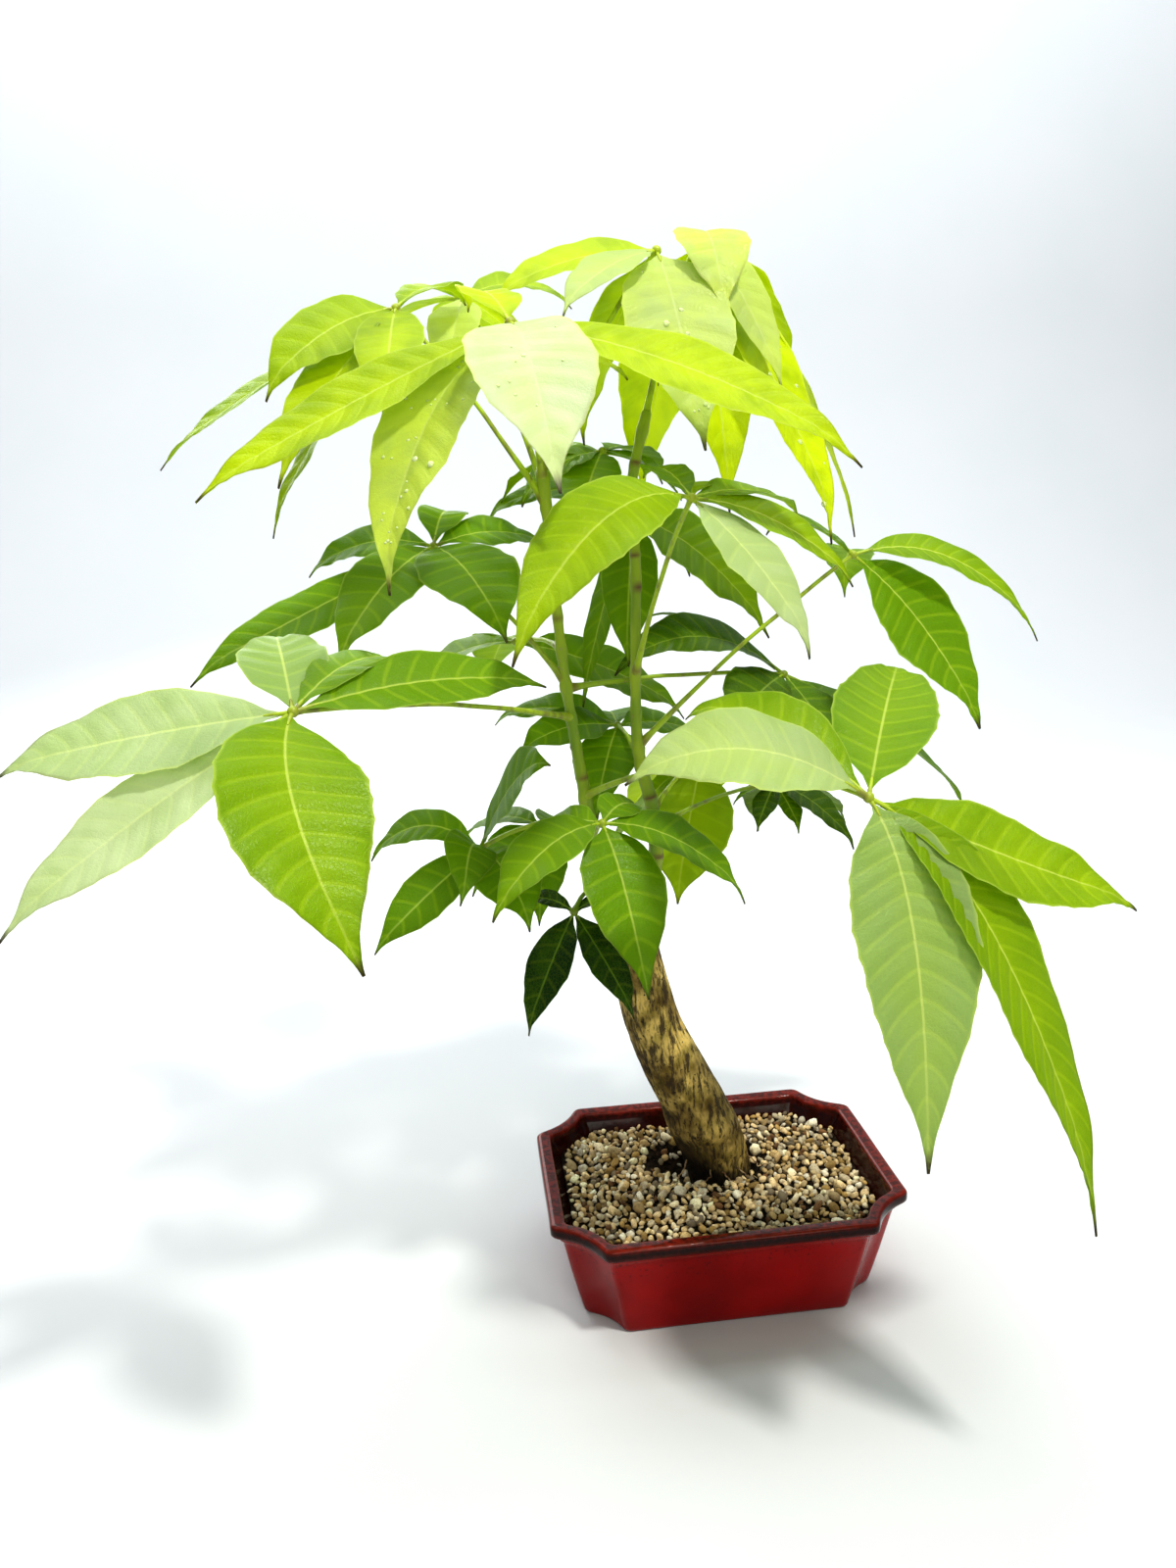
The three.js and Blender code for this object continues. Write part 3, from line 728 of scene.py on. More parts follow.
GRAIN_COLOURS = (
    ((0.90, 0.69, 0.39), 10), ((0.94, 0.80, 0.54), 11), ((0.66, 0.47, 0.22), 7), ((0.46, 0.30, 0.10), 5),
    ((0.74, 0.56, 0.30), 7), ((0.26, 0.21, 0.14), 3), ((0.20, 0.10, 0.04), 3), ((0.92, 0.84, 0.66), 6),
)

# Each layer of grains: its height, how many are wanted, and the smallest radius.
GRAIN_LAYERS = ((45.2, 620, 2.0), (47.4, 900, 1.75))
MOST_TRIES = 60000


def make_gravel():
    shapes, faces = grain_bases(36)
    palette = [colour for colour, weight in GRAIN_COLOURS for _ in range(weight)]
    shape = Shape()
    cell = 6.0
    for level, wanted, smallest in GRAIN_LAYERS:
        placed = {}
        made = 0
        tries = 0
        while made < wanted and tries < MOST_TRIES:
            tries += 1
            x = rng.uniform(-82, 82)
            y = rng.uniform(-62, 62)
            radius = min(4.2, smallest + rng.expovariate(1 / 0.75))
            if not inside_tray(x, y, radius * 0.9 + 0.3):
                continue
            share = bowl_share(x, y)
            ragged = 0.10 * noise.noise(Vector((x / 7, y / 7, 2.0)))
            if share < 1.04 + ragged and rng.random() > 0.012:
                continue
            # Along the left and back walls the gravel thins out and the soil shows.
            edge = level > 46 and not inside_tray(x, y, 8.0) and (x < 0 or y > 10)
            if edge and noise.noise(Vector((x / 15, y / 15, 4.0))) > -0.02:
                continue
            spot = (int(x // cell), int(y // cell))
            near = [one for dx in (-1, 0, 1) for dy in (-1, 0, 1)
                    for one in placed.get((spot[0] + dx, spot[1] + dy), ())]
            if any(math.hypot(x - a, y - b) < 0.82 * (radius + c) for a, b, c in near):
                continue
            placed.setdefault(spot, []).append((x, y, radius))
            made += 1
            z = level + rng.uniform(-0.7, 0.9) - 1.2 * float(smoothstep(1.12, 0.95, share))
            if share < 0.93:
                z = soil_height(x, y) + radius * 0.4
            form = rng.choice(shapes)
            form = form * np.array((1.05, rng.uniform(0.58, 1.0), rng.uniform(0.5, 0.85))) * radius
            turn = np.array(Matrix.Rotation(rng.uniform(-0.9, 0.9), 3, "X") @ Matrix.Rotation(
                rng.uniform(-0.9, 0.9), 3, "Y") @ Matrix.Rotation(rng.uniform(0, 6.28), 3, "Z"))
            colour = np.array(rng.choice(palette)) * rng.uniform(0.50, 1.12)
            shape.add((form @ turn.T + (x, y, z)) * MM, faces, grain_tone=np.minimum(colour, 0.92))
    shape.finish("gravel", [GRAVEL], ["gravel_bed"], colours=["grain_tone"])


make_soil()
make_gravel()


# Trunk

TRUNK = (
    # x, y, z, radius
    (9, 20, 18, 17), (7, 18, 34, 18.5), (4, 16, 48, 19.2), (2, 14, 60, 19), (-3, 11, 74, 19),
    (-8, 8, 88, 18), (-17.5, 5, 107, 17), (-24, 3, 122, 16.3), (-30, 1, 138, 14.8), (-35, 0, 160, 13.5),
    (-41, 0, 182, 14), (-43, 0, 196, 12), (-43, 0, 202, 7),
)
# Small healed knots: height, bearing and size.
KNOTS = ((118, 262, 3.6), (124, 282, 2.6), (150, 228, 3.0), (97, 318, 3.2))
TRUNK_SIDES = 128
TRUNK_RINGS = 190


def make_trunk():
    table = np.array(TRUNK, float)
    heights = np.linspace(18, 201.6, TRUNK_RINGS)
    heights = np.concatenate([heights, [201.9]])
    smooth = np.array([np.interp(heights, table[:, 2], table[:, k]) for k in (0, 1, 3)])
    for _ in range(2):
        for k in range(3):
            padded = np.pad(smooth[k], 4, mode="edge")
            smooth[k] = np.convolve(padded, np.ones(9) / 9, mode="valid")
    rings = []
    tones = []
    for row, z in enumerate(heights):
        cx, cy, radius = smooth[:, row]
        if z > 196:
            radius *= math.sqrt(max(0.03, 1 - ((z - 196) / 5.9) ** 2))
        angles = np.arange(TRUNK_SIDES) * 2 * math.pi / TRUNK_SIDES
        ring = []
        tone = []
        for angle in angles:
            c, s = math.cos(angle), math.sin(angle)
            front_left = max(0.0, math.cos(angle - math.radians(215)))
            front = max(0.0, math.cos(angle - math.radians(265)))
            swell = 0.9 * noise.noise(Vector((c * 1.3, s * 1.3, z / 26)))
            # Root flare: ridges that spread below the collar, with hollows between them.
            low = float(smoothstep(78, 40, z))
            ridges = 0.5 + 0.5 * math.cos(5 * angle + 0.9 + 0.35 * math.sin(z / 9))
            swell += low * (2.3 * ridges - 1.9)
            # Under its left side the trunk draws in a little, and there a painted shadow darkens it almost to
            # black.
            line = 50 - 8 * c
            foot = float(smoothstep(line + 6, line - 4, z))
            swell -= 2.0 * foot * front_left
            # The swollen collar and the folded bark under it.
            swell += 1.5 * math.exp(-((z - 77) / 5.0) ** 2) * (0.35 + 0.65 * front)
            swell -= 1.0 * math.exp(-((z - 67.5 - 2.5 * c) / 2.2) ** 2) * front
            # Long fine fissures that follow the trunk.
            crack = noise.noise(Vector((c * 15, s * 15, z / 11)))
            deep = max(0.0, 0.16 - abs(crack)) / 0.16
            side = 0.45 + 0.55 * max(low, max(0.0, math.cos(angle - math.radians(190))))
            swell -= (0.50 + 0.55 * low) * deep * side
            crinkle = noise.noise(Vector((c * 34, s * 34, z / 5.0)))
            swell += 0.20 * crinkle
            pit = noise.noise(Vector((c * 9 + 4, s * 9, z / 4.5 + 7)))
            swell -= 0.6 * max(0.0, pit - 0.42)
            for knot_z, knot_bearing, size in KNOTS:
                turn = angle - math.radians(knot_bearing)
                gap = math.hypot(z - knot_z, radius * math.atan2(math.sin(turn), math.cos(turn)))
                swell += 0.55 * math.exp(-(gap / size) ** 2) - 0.95 * math.exp(-(gap / (size * 0.36)) ** 2)
            spread_out = radius + swell
            ring.append((cx + spread_out * c, cy + spread_out * s, z))
            # Painted shade: the fissures, pits and hollows between the root ridges are darkened, most on the
            # left; the left of the top end, the lower front-left and the whole left side are darkened too,
            # and the foot gets dark streaks.
            painted_shade_and_streaks = (0.85 + 0.35 * low) * deep * side
            painted_shade_and_streaks += 0.5 * max(0.0, pit - 0.35) + 0.5 * low * (1 - ridges) * 0.6
            painted_shade_and_streaks += 0.55 * float(smoothstep(186, 200, z)) * max(0.0, math.cos(angle - math.radians(200)))
            painted_shade_and_streaks += 0.45 * front_left * float(smoothstep(80, 60, z))
            painted_shade_and_streaks += 0.30 * max(0.0, math.cos(angle - math.radians(195)))
            painted_shade_and_streaks += low * max(0.0, 1.6 * noise.noise(Vector((c * 20, s * 20, z / 15 + 4))))
            tone.append((min(1.0, painted_shade_and_streaks), foot, 0))
        rings.append(ring)
        tones.append(tone)
    shape = Shape()
    faces = ring_faces(len(rings), TRUNK_SIDES)
    shape.add(np.array(rings) * MM, faces, bark_tone=np.array(tones))
    shape.finish("trunk_bark", [BARK], ["trunk"], colours=["bark_tone"])


make_trunk()


def make_rootlets():
    shape = Shape()
    routes = (
        ((3, 1, 52), (6, -3, 49), (9, -5, 46), (10, -10, 47.5)),
        ((13, 5, 50), (17, -1, 47), (20, -3, 46), (24, -7, 48.5)),
        ((-11, 8, 54), (-17, 3, 47), (-20, 0, 45), (-26, -3, 47.5)),
        ((0, 2, 54), (-2, -3, 48), (-9, -2, 44), (-14, -8, 47)),
        ((20, 14, 52), (25, 9, 48), (27, 6, 47), (33, 3, 49.5)),
    )
    for index, route in enumerate(routes):
        path = smooth_path(route, 10)
        for row in range(len(path)):
            path[row] += 1.3 * np.array([noise.noise(Vector((row / 4, index, k * 3.3))) for k in range(3)])
        radii = np.linspace(0.45, 0.15, len(path)) * (0.9 if index % 2 else 1.2)
        rings = tube_rings(path, radii, 6)
        shape.add(rings * MM, ring_faces(len(rings), 6))
    shape.finish("rootlets", [ROOTLET], [])


make_rootlets()


# Stems

LEFT_STEM = (
    (-49, 0, 190), (-57, 0, 222), (-60, 0, 253), (-66, 0, 297), (-69, 0, 325), (-73, 0, 385), (-75, 0, 412),
)
RIGHT_STEM = (
    (-37, 0, 190), (-27, 0, 222), (-28, 0, 250), (-34, 0, 280), (-33, 0, 370), (-34, 0, 402), (-26, 0, 436),
)
LEFT_PATH = smooth_path(LEFT_STEM)
RIGHT_PATH = smooth_path(RIGHT_STEM)


def stem_point(path, z):
    return np.array([np.interp(z, path[:, 2], path[:, k]) for k in range(3)])


def make_stem(name, path, feet, scars, piece_node):
    lengths = np.concatenate([[0], np.cumsum(np.linalg.norm(np.diff(path, axis=0), axis=1))])
    share = lengths / lengths[-1]
    radii = 4.2 + (2.4 - 4.2) * np.minimum(1, share * 2)
    tones = []
    sides = 18
    for foot in feet:
        radii = radii + 0.55 * np.exp(-((path[:, 2] - foot + 1.0) / 3.0) ** 2)
    for scar, _ in scars:
        radii = radii + 0.35 * np.exp(-((path[:, 2] - scar) / 1.6) ** 2)
    # The growing tip narrows to a bud.
    radii = radii * np.clip((1.006 - share) / 0.012, 0.25, 1) ** 0.5
    rings = tube_rings(path, radii, sides)
    for row, z in enumerate(path[:, 2]):
        for k in range(sides):
            offset = rings[row, k] - path[row]
            lump = noise.noise(Vector(rings[row, k] / 3.0)) * 0.16
            rings[row, k] = path[row] + offset * (1 + lump * 0.5)
            facing = math.atan2(offset[1], offset[0])
            scar = max([math.exp(-((z - at) / 1.1) ** 2) * max(0.0, math.cos(facing - math.radians(way)))
                        for at, way in scars] + [0.0])
            woody = float(smoothstep(232, 196, z)) * 0.9
            tones.append((min(1, scar * 1.1), woody, 0))
    shape = Shape()
    shape.add(rings * MM, ring_faces(len(rings), sides), stem_tone=np.array(tones))
    shape.finish(name, [STEM], [piece_node], colours=["stem_tone"])


# Leaves

BLADE_STALK = 0.07
BLADE_FOLD = 0.16
ACROSS = (-1, -0.88, -0.68, -0.46, -0.25, -0.10, -0.035, 0, 0.035, 0.10, 0.25, 0.46, 0.68, 0.88, 1)
# Half width along the blade, as a share of the greatest.
OUTLINE_ALONG = (0, 0.05, 0.12, 0.22, 0.34, 0.46, 0.56, 0.66, 0.76, 0.84, 0.90, 0.95, 1)
OUTLINE_WIDTH = (0.04, 0.20, 0.46, 0.74, 0.93, 1.0, 0.98, 0.88, 0.68, 0.44, 0.21, 0.07, 0.02)

# Each leaf: the height of its foot on the stem, its hub, the petiole's lift, its tone (0 deep green,
# 0.5 fresh green, 1 lime), and its leaflets as azimuth, reach, drop, arch, width, roll, and where it
# isn't 0, sway and painted sheen, a pale highlight painted into the blade's colour.
LEFT_LEAVES = (
    (214, (-70, -18, 206), 3, 0.10, (
        (-140, 35, 50, 3, 24, -10), (-45, 35, 45, 2, 22, 10), (165, 25, -5, 4, 12, -20),
        (15, 28, -4, 3, 11, 10))),
    (230, (-59, -50, 257), 4, 0.52, (
        (-75, 45, 65, 10, 38, 0), (-150, 60, 30, 10, 32, -15), (-10, 65, 35, 10, 30, 20),
        (45, 30, 0, 6, 20, 20), (160, 35, 12, 6, 24, -20))),
    (242, (-80, 32, 236), 3, 0.42, (
        (-165, 40, 30, 6, 28, -15), (-100, 30, 42, 6, 28, 0), (145, 50, 10, 8, 24, -10),
        (60, 45, 20, 8, 26, 10))),
    (248, (-113, -14, 239), 4, 0.46, (
        (-50, 48, -48, 10, 36, 50), (-105, 35, 15, 12, 26, -30), (165, 55, 5, 14, 22, -30),
        (-160, 55, 40, 2, 24, -45), (-60, 42, 28, 8, 36, 10))),
    (258, (29, -140, 284), 14, 0.68, (
        (62, 95, -40, 6, 42, 10), (180, 91, -12, 15, 40, -35, 0, 0.5), (142, 75, -30, 10, 34, -30),
        (-2, 110, 48, -2, 42, 35), (-36, 90, 155, 28, 38, 20, 8), (-84, 50, 125, 18, 48, 0, 6, 0.3))),
    (297, (-178, -120, 324), 4, 0.60, (
        (180, 105, 15, 2, 38, -40, 0, 0.65), (-162, 105, 65, 3, 30, -40, 0, 0.8),
        (-70, 70, 75, 12, 52, -5, -10), (102, 60, -24, 4, 34, 0, 0, 0.3), (52, 60, -12, 8, 24, 10),
        (18, 100, -2, 6, 30, 35))),
    (314, (-126, 8, 379), 4, 0.52, (
        (172, 60, 10, 8, 28, -30), (-160, 115, 50, 0, 28, -35), (-125, 75, 45, 8, 34, -20),
        (-62, 62, 38, 8, 46, 10), (75, 45, -8, 12, 24, 10), (25, 60, 0, 6, 30, 25))),
    (311, (46, 26, 309), 3, 0.30, (
        (-172, 90, -8, 18, 36, -25), (150, 75, -32, 8, 16, 0), (-130, 62, 20, 4, 36, -35),
        (-60, 45, 45, 4, 30, 0), (14, 120, 80, 8, 30, 20))),
    (330, (-88, 44, 330), 3, 0.62, (
        (5, 90, 42, 6, 36, 35), (55, 80, 30, 8, 34, 10), (100, 70, 25, 10, 36, 0),
        (165, 60, 25, 8, 30, -15))),
    (396, (-136, 12, 483), 4, 0.74, (
        (-153, 65, 38, 8, 38, -35), (162, 125, 60, 4, 32, -30), (-134, 75, 75, 6, 34, -15),
        (-175, 65, 95, 4, 26, -20), (-95, 60, 50, 6, 30, 0), (50, 50, -10, 8, 28, 5))),
    (402, (-105, 58, 496), 6, 0.80, (
        (-105, 38, 42, 5, 26, 0, 0, 0.4), (-25, 45, 45, 6, 28, 15), (20, 60, 0, 8, 28, 25),
        (88, 75, 35, 12, 34, 0), (155, 80, 40, 12, 34, -15))),
    (407, (-90, -60, 464), 6, 0.86, (
        (-80, 60, 65, 14, 50, 5, 0, 0.95), (-171, 125, 62, 2, 32, -35),
        (-140, 72, 98, 12, 40, -15, -10, 0.25), (-14, 138, 56, 8, 34, 40), (38, 68, 14, 0, 28, 20),
        (110, 45, -15, 8, 26, 0))),
    (411, (-22, -10, 501), 8, 0.84, (
        (178, 74, 18, 6, 30, -35), (-142, 60, 30, 5, 24, -20, 0, 0.5), (-80, 50, 85, 9, 48, 5, 0, 0.5),
        (130, 52, 75, 10, 38, -10), (80, 35, 50, 6, 20, 0))),
)
RIGHT_LEAVES = (
    (240, (52, 62, 244), 4, 0.25, (
        (-175, 25, 8, 2, 10, 0), (-130, 24, 20, 2, 15, 0), (-68, 22, 22, 2, 15, 0),
        (-30, 45, 32, 6, 26, 10), (30, 60, 30, 8, 26, 10), (85, 60, 40, 8, 26, 0))),
    (248, (8, 50, 262), 4, 0.72, (
        (-125, 36, 68, 4, 46, -25), (160, 55, 55, 8, 34, -10), (75, 60, 40, 8, 32, 0),
        (120, 65, 40, 8, 34, 0))),
    (272, (-38, 40, 285), 3, 0.50, (
        (-165, 55, 8, 6, 32, -25), (-115, 42, 38, 5, 34, 0), (155, 70, -2, 8, 28, -20),
        (15, 46, 8, 4, 28, 20), (90, 60, 10, 8, 30, 0))),
    (281, (72, 0, 368), 4, 0.58, (
        (0, 98, 42, 18, 26, 35), (-30, 62, 80, 8, 50, 30, 5), (-165, 48, -14, 8, 22, -20),
        (75, 60, 20, 10, 26, 10))),
    (316, (-21, -70, 395), 6, 0.66, (
        (-143, 100, 55, 20, 40, -25), (-42, 55, 60, 6, 30, 15, 0, 0.6), (0, 70, 36, 8, 22, 35),
        (115, 34, -12, 6, 22, 0), (78, 45, -2, 6, 20, 5), (32, 68, 6, 6, 22, 20))),
    (362, (-28, 36, 390), 4, 0.64, (
        (-110, 26, 70, 4, 28, -10), (-12, 68, 60, 10, 44, 35), (-170, 30, 92, 8, 20, -20),
        (165, 78, 0, 14, 26, -25), (55, 70, 30, 10, 32, 0), (110, 65, 30, 10, 32, 0))),
    (392, (-44, 22, 420), 3, 0.66, (
        (-170, 42, 22, 6, 28, -20), (-10, 38, 22, 5, 26, 10), (-115, 40, 35, 4, 28, -10),
        (45, 50, 12, 8, 28, 10), (145, 60, 20, 8, 30, -15))),
    (428, (0, 4, 509), 8, 0.92, (
        (-85, 36, 38, 14, 34, 0, 0, 0.4), (-50, 45, 68, 8, 28, 15, 0, 0.4), (34, 70, 65, 14, 34, 20),
        (-76, 28, 118, 8, 36, 0), (-32, 66, 132, 6, 38, 18, 2), (14, 88, 130, 16, 30, 25),
        (108, 66, 108, 12, 46, 0))),
)

fine_along = np.linspace(0, 1, 241)
fine_width = np.interp(fine_along, OUTLINE_ALONG, OUTLINE_WIDTH)
fine_width = np.convolve(np.pad(fine_width, 9, mode="reflect", reflect_type="odd"), np.ones(19) / 19, "valid")


def blade_outline(t, fullness):
    u = np.clip((t - BLADE_STALK) / (1 - BLADE_STALK), 0, 1)
    return np.interp(u ** fullness, fine_along, np.maximum(fine_width, 0.012))


def quadratic(start, middle, end, t):
    t = np.asarray(t)[..., None]
    point = (1 - t) ** 2 * start + 2 * t * (1 - t) * middle + t * t * end
    slope = 2 * (1 - t) * (middle - start) + 2 * t * (end - middle)
    return point, unit(slope)


# Leaflets that still carry drops from watering, with how many.
WET_LEAFLETS = {(-140, 72, 98): 34, (-80, 60, 65): 9, (-80, 50, 85): 12, (-32, 66, 132): 8}
drops = Shape()


def add_drops(surface, normals, count):
    dome = bmesh.new()
    bmesh.ops.create_icosphere(dome, subdivisions=3, radius=1)
    dome.verts.ensure_lookup_table()
    ball = np.array([vert.co[:] for vert in dome.verts])
    faces = [[vert.index for vert in face.verts] for face in dome.faces]
    dome.free()
    rows, columns = surface.shape[:2]
    for _ in range(count):
        row = int(rows * rng.uniform(0.12, 0.88))
        column = rng.choice((2, 3, 4, 5, 9, 10, 11, 12))
        radius = 0.45 + min(1.1, rng.expovariate(1 / 0.35))
        up = normals[row, column]
        side = unit(np.cross(up, (0.2, 0.9, 0.1)))
        axes = np.array((side, np.cross(up, side), up))
        form = ball * (radius * rng.uniform(0.85, 1.1), radius, radius * 0.5)
        drops.add((surface[row, column] + form @ axes) * MM, faces)


# The upper side's values, then the lower side's without its two margins, which the sides share.
def both_sides(upper, lower):
    width = upper.shape[-1]
    return np.concatenate([upper.reshape(-1, width), lower[:, 1:-1].reshape(-1, width)])


def add_leaflet(shape, hub, leaflet, tone):
    azimuth, reach, drop, arch, width, roll = leaflet[:6]
    sway = leaflet[6] if len(leaflet) > 6 else 0
    # The eighth value is painted sheen, a pale highlight painted into the blade's colour.
    painted_sheen = leaflet[7] if len(leaflet) > 7 else 0
    bearing = math.radians(azimuth)
    outward = np.array((math.cos(bearing), math.sin(bearing), 0))
    level = np.array((-math.sin(bearing), math.cos(bearing), 0))
    tip = hub + outward * reach - np.array((0, 0, drop))
    middle = (hub + tip) / 2 + np.array((0, 0, 2 * arch)) + level * 2 * sway
    length = np.linalg.norm(middle - hub) / 2 + np.linalg.norm(tip - middle) / 2
    veins = int(np.clip(round(length / 4.9), 7, 26))
    rows = veins * 3

    along_rows = np.linspace(0.0, 1.0, rows + 1)
    r, s = np.meshgrid(along_rows, np.array(ACROSS), indexing="ij")
    # Side veins run forward from the midrib, and the rows of points run with them.
    start = 0.05
    t = start + (1 - start) * (r + 0.40 * np.abs(s) ** 1.25 * r * (1 - r))
    centre, tangent = quadratic(hub, middle, tip, t)
    turn = np.radians(roll + rng.uniform(-7, 7) * (t - 0.3))
    across = np.broadcast_to(level, tangent.shape)
    across = unit(across - tangent * np.sum(across * tangent, axis=-1, keepdims=True))
    normal = np.cross(tangent, across)
    turned = across * np.cos(turn)[..., None] + normal * np.sin(turn)[..., None]
    normal = np.cross(tangent, turned)
    across = turned

    # Broad leaflets are fullest near the hub, narrow ones beyond their middle.
    fullness = np.clip(1.42 - 1.0 * width / length, 0.88, 1.22) + rng.uniform(-0.05, 0.05)
    half = width / 2 * blade_outline(t, fullness)
    half = half * (1 + 0.018 * np.cos(2 * math.pi * r * veins) * np.abs(s) ** 4)
    half = np.maximum(half, 0.75 * (1 - r) + 0.22)
    scale = width / 40.0
    open_out = smoothstep(0.0, 0.12, r) * smoothstep(1.0, 0.9, r)
    fold = BLADE_FOLD * rng.uniform(0.7, 1.3)
    rise = half * (fold * np.abs(s) ** 1.35 - 0.07 * np.abs(s) ** 4)
    passed = r * veins
    between = passed - np.floor(passed)
    puff = 4 * between * (1 - between)
    where = np.sin(math.pi * np.clip(np.abs(s), 0, 1) ** 0.8) ** 0.7 * 0.85 + 0.15 * np.abs(s)
    rise = rise + 0.98 * scale ** 0.7 * (puff - 0.6) * where * open_out
    for side in (-1, 1):
        on_side = (s * side > 0) * np.abs(s) ** 2.6
        wave = np.sin(2 * math.pi * (rng.uniform(1.6, 3.0) * r + rng.random()))
        wave = wave + 0.5 * np.sin(2 * math.pi * (rng.uniform(4, 6) * r + rng.random()))
        rise = rise + 0.95 * scale * wave * on_side * open_out
    # The midrib lies in a groove above and stands out as a rib below.
    offset = s * half
    rise = rise - 0.30 * np.exp(-(offset / 1.0) ** 2) * smoothstep(1.0, 0.6, r)
    # The drip tip is drawn out and curls.
    curl = rng.uniform(0.5, 1.4) * 5.0 * min(1.0, length / 90)
    sideways = rng.uniform(-1, 1) * 3.5 * min(1.0, length / 90)
    beyond = np.clip((t - 0.82) / 0.18, 0, 1) ** 2
    top = centre + across * (offset + sideways * beyond)[..., None] + normal * rise[..., None]
    top = top - normal * (curl * beyond)[..., None] - np.array((0, 0, 1.0)) * (1.2 * beyond)[..., None]
    rib = 0.85 * np.exp(-(offset / 0.9) ** 2) * (1 - 0.7 * r)
    below = top - normal * (0.38 + rib)[..., None]

    total, columns = r.shape
    inner = columns - 2
    top_index = np.arange(total * columns).reshape(total, columns)
    below_index = np.empty_like(top_index)
    below_index[:, 0] = top_index[:, 0]
    below_index[:, -1] = top_index[:, -1]
    below_index[:, 1:-1] = total * columns + np.arange(total * inner).reshape(total, inner)
    faces = []
    for i in range(total - 1):
        for j in range(columns - 1):
            faces.append((top_index[i, j], top_index[i + 1, j], top_index[i + 1, j + 1], top_index[i, j + 1]))
            faces.append((below_index[i, j], below_index[i, j + 1], below_index[i + 1, j + 1],
                          below_index[i + 1, j]))
    for i, flipped in ((0, False), (total - 1, True)):
        for j in range(columns - 1):
            corner = [top_index[i, j], top_index[i, j + 1], below_index[i, j + 1], below_index[i, j]]
            corner = list(dict.fromkeys(int(c) for c in corner))
            faces.append(tuple(reversed(corner)) if flipped else tuple(corner))
    faces = [tuple(int(c) for c in face) for face in faces]

    points = both_sides(top, below)
    size = np.stack([0.5 + offset / 100, r], axis=-1)
    vein = np.stack([np.abs(s), passed], axis=-1)
    own = tone + rng.uniform(-0.07, 0.07)
    dry = smoothstep(0.955, 0.99, t) * 0.95
    dry = np.maximum(dry, 0.5 * smoothstep(0.93, 1.0, np.abs(s)) * smoothstep(0.55, 0.95, t) * rng.random())
    shade = own - 0.06 * np.abs(s) + 0.05 * t
    upper = np.stack([np.zeros_like(r), shade, dry], axis=-1)
    lower = np.stack([np.ones_like(r), shade, dry], axis=-1)
    tones = np.clip(both_sides(upper, lower), 0, 1)
    # The last layer carries the painted sheen into the blade's colour.
    shape.add(points * MM, faces, 0, blade=both_sides(size, size), veins=both_sides(vein, vein),
              leaf_tone=tones, leaf_bloom=(painted_sheen, 0, 0))

    if (azimuth, reach, drop) in WET_LEAFLETS:
        add_drops(top, normal, WET_LEAFLETS[azimuth, reach, drop])

    stalk, _ = quadratic(hub, middle, tip, np.linspace(0, 0.10, 6))
    rings = tube_rings(stalk - normal[0, 7] * 0.3, np.array([1.15, 1.0, 0.85, 0.8, 0.7, 0.45]), 8)
    shape.add(rings * MM, ring_faces(len(rings), 8), 1, leaf_tone=(0, tone, 0.05))


def make_leaf(name, path, leaf):
    foot, hub, lift, tone, leaflets = leaf
    hub = np.array(hub, float)
    start = stem_point(path, foot)
    middle = (start + hub) / 2 + np.array((0, 0, 2 * lift))
    shape = Shape()
    shares = np.linspace(0, 1, 34)
    petiole, slopes = quadratic(start, middle, hub, shares)
    reach = np.linalg.norm(hub - start)
    walked = shares * reach
    radii = 1.7 + (1.05 - 1.7) * np.minimum(1, shares * 3)
    radii = radii + 1.0 * np.exp(-(walked / 5.0) ** 2) + 0.55 * np.exp(-((reach - walked) / 3.0) ** 2)
    sag = np.array([noise.noise(Vector((k / 7, foot * 0.13, 1.0))) for k in range(len(shares))])
    petiole[:, 2] += sag * 0.8 * np.sin(math.pi * shares)
    rings = tube_rings(petiole, radii, 10)
    tones = np.zeros((len(rings), 10, 3))
    tones[..., 1] = tone
    foot_scar = 0.75 * np.exp(-((walked - 3.6) / 1.6) ** 2)
    hub_scar = 0.25 * np.exp(-((reach - walked) / 2.5) ** 2)
    tones[..., 2] = (foot_scar + hub_scar)[:, None]
    shape.add(rings * MM, ring_faces(len(rings), 10), 1, leaf_tone=tones)
    knob = tube_rings(hub + np.outer(np.linspace(-2.0, 2.0, 9), slopes[-1]),
                      2.2 * np.sqrt(np.clip(1 - np.linspace(-0.97, 0.97, 9) ** 2, 0, 1)), 12)
    shape.add(knob * MM, ring_faces(9, 12), 1, leaf_tone=(0, tone, 0.22))
    for leaflet in leaflets:
        add_leaflet(shape, hub, leaflet, tone)
    shape.finish(name + "_blades", [BLADE, STALK], [name], maps=("blade", "veins"),
                 colours=("leaf_tone", "leaf_bloom"))


for index, leaf in enumerate(LEFT_LEAVES):
    make_leaf(f"left_leaf_{index + 1:02d}", LEFT_PATH, leaf)
for index, leaf in enumerate(RIGHT_LEAVES):
    make_leaf(f"right_leaf_{index + 1:02d}", RIGHT_PATH, leaf)

drops.finish("water_drops", [water_material()], [])

make_stem("left_stem_bark", LEFT_PATH, [leaf[0] for leaf in LEFT_LEAVES],
          ((221, 200), (268, 300), (283, 150), (345, 260), (372, 80)), "left_stem")
make_stem("right_stem_bark", RIGHT_PATH, [leaf[0] for leaf in RIGHT_LEAVES],
          ((226, 300), (256, 270), (298, 230), (336, 60), (357, 300), (372, 250), (413, 270)), "right_stem")


# Carried-over nodes keep their shape and take the woven plastic.
for name in ("drainage_mesh_left", "drainage_mesh_right"):
    for slot in bpy.data.objects[name].material_slots:
        slot.material = WEAVE


# Floor and light

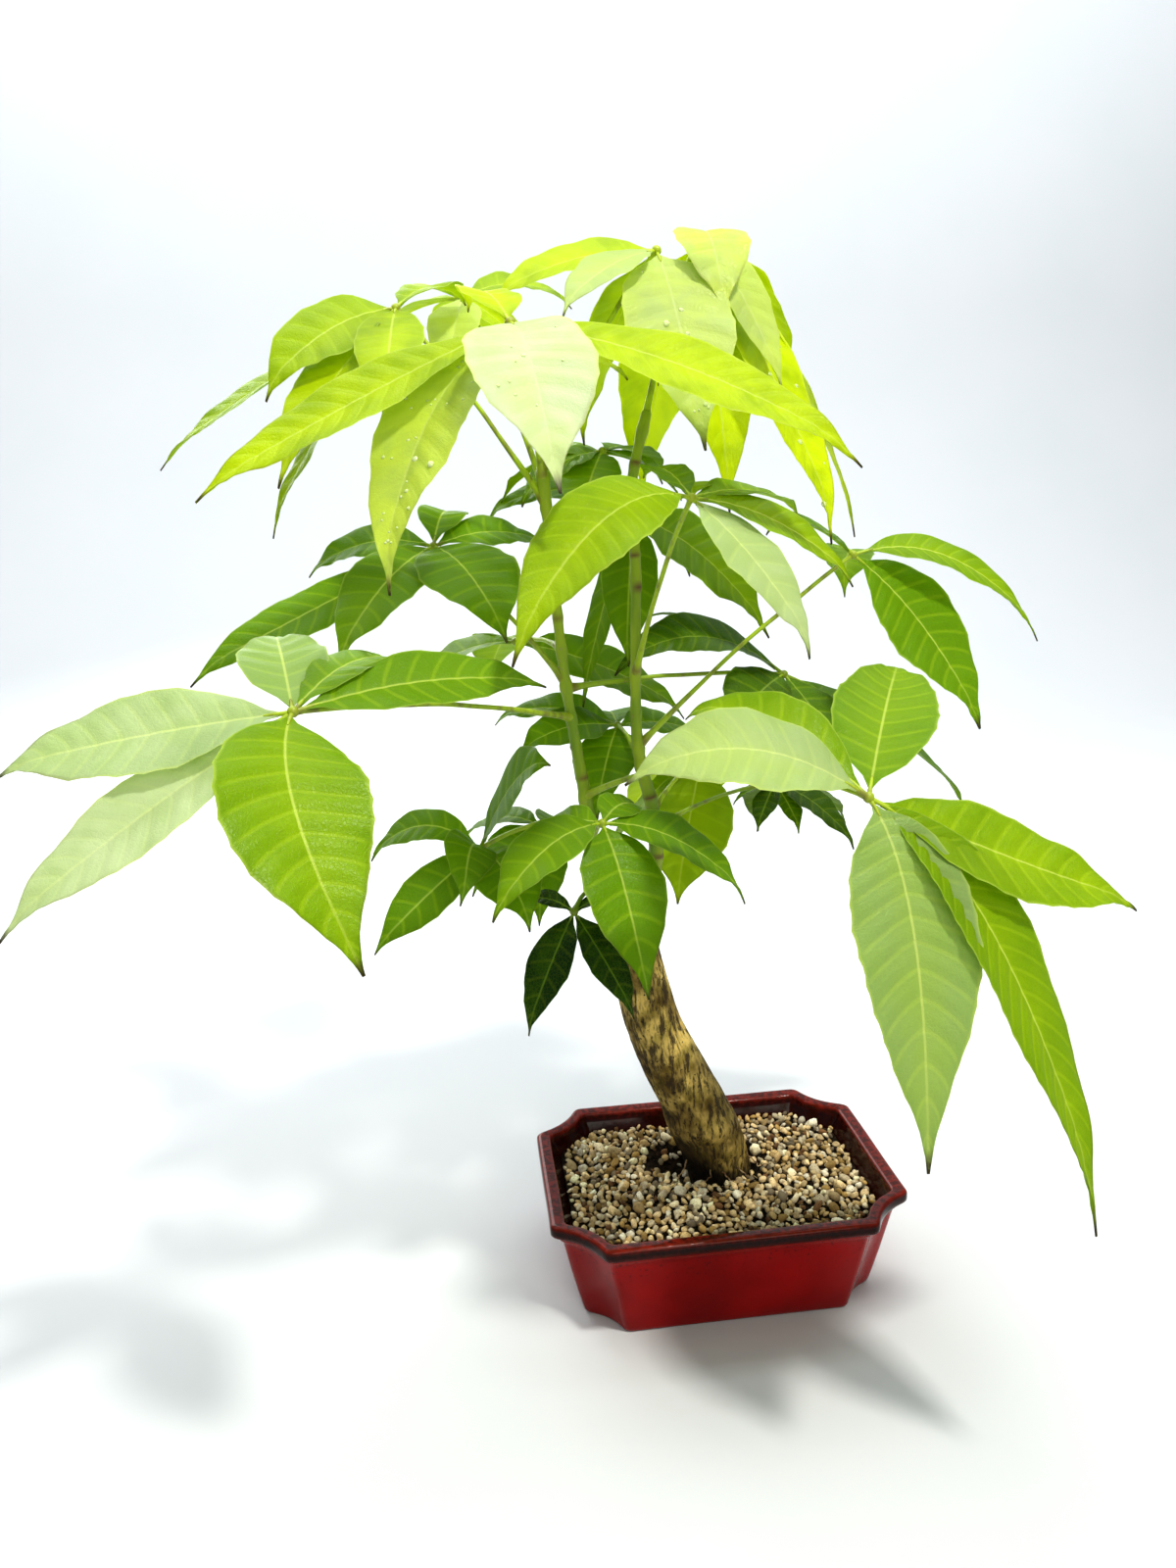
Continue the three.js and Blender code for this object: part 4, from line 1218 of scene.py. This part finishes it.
def make_floor():
    profile = [(-3.0, 0.0), (1.4, 0.0)]
    for k in range(1, 17):
        angle = math.radians(90 * k / 16)
        profile.append((1.4 + 0.9 * math.sin(angle), 0.9 - 0.9 * math.cos(angle)))
    profile.append((2.3, 4.0))
    points = [(x, y, z) for y, z in profile for x in (-4.0, 4.0)]
    faces = [(2 * k, 2 * k + 1, 2 * k + 3, 2 * k + 2) for k in range(len(profile) - 1)]
    mesh = bpy.data.meshes.new("floor")
    mesh.from_pydata(points, [], faces)
    mesh.polygons.foreach_set("use_smooth", [True] * len(mesh.polygons))
    mesh.materials.append(floor_material())
    floor = bpy.data.objects.new("floor", mesh)
    bpy.context.scene.collection.objects.link(floor)
    floor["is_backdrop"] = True


def make_light(name, spot, aim, size, power, colour):
    data = bpy.data.lights.new(name, "AREA")
    data.shape = "RECTANGLE"
    data.size, data.size_y = size
    data.energy = power
    data.color = colour
    lamp = bpy.data.objects.new(name, data)
    lamp.location = spot
    lamp.rotation_euler = (Vector(spot) - Vector(aim)).to_track_quat("Z", "Y").to_euler()
    lamp.visible_camera = False
    bpy.context.scene.collection.objects.link(lamp)


make_floor()
make_light("key", (0.42, -0.90, 2.05), (-0.05, 0.0, 0.2), (0.18, 0.18), 35, (1.0, 0.97, 0.90))
make_light("fill", (0.10, -1.30, 0.85), (0.0, 0.0, 0.15), (0.8, 0.5), 6, (1.0, 0.95, 0.82))
make_light("overhead", (-0.25, 0.0, 1.30), (-0.06, 0.0, 0.25), (0.55, 0.55), 3.0, (1.0, 0.99, 0.95))
make_light("window", (-0.60, 1.55, 1.05), (-0.06, 0.0, 0.25), (1.2, 0.9), 15, (1.0, 1.0, 0.98))
make_light("wash", (0.0, 0.8, 2.6), (0.0, 2.3, 1.0), (4.4, 1.2), 92, (0.96, 0.98, 1.0))

world = bpy.data.worlds.new("studio")
world.use_nodes = True
world.node_tree.nodes["Background"].inputs["Color"].default_value = (0.86, 0.94, 1.0, 1)
world.node_tree.nodes["Background"].inputs["Strength"].default_value = 0.33
bpy.context.scene.world = world
bpy.context.scene.view_settings.view_transform = "Standard"
bpy.context.scene.view_settings.gamma = 0.88


def plain_numbers(value):
    if hasattr(value, "__len__"):
        return [plain_numbers(one) for one in value]
    return float(value)


{"cad": plain_numbers(cad_box), "visual": plain_numbers(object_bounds())}
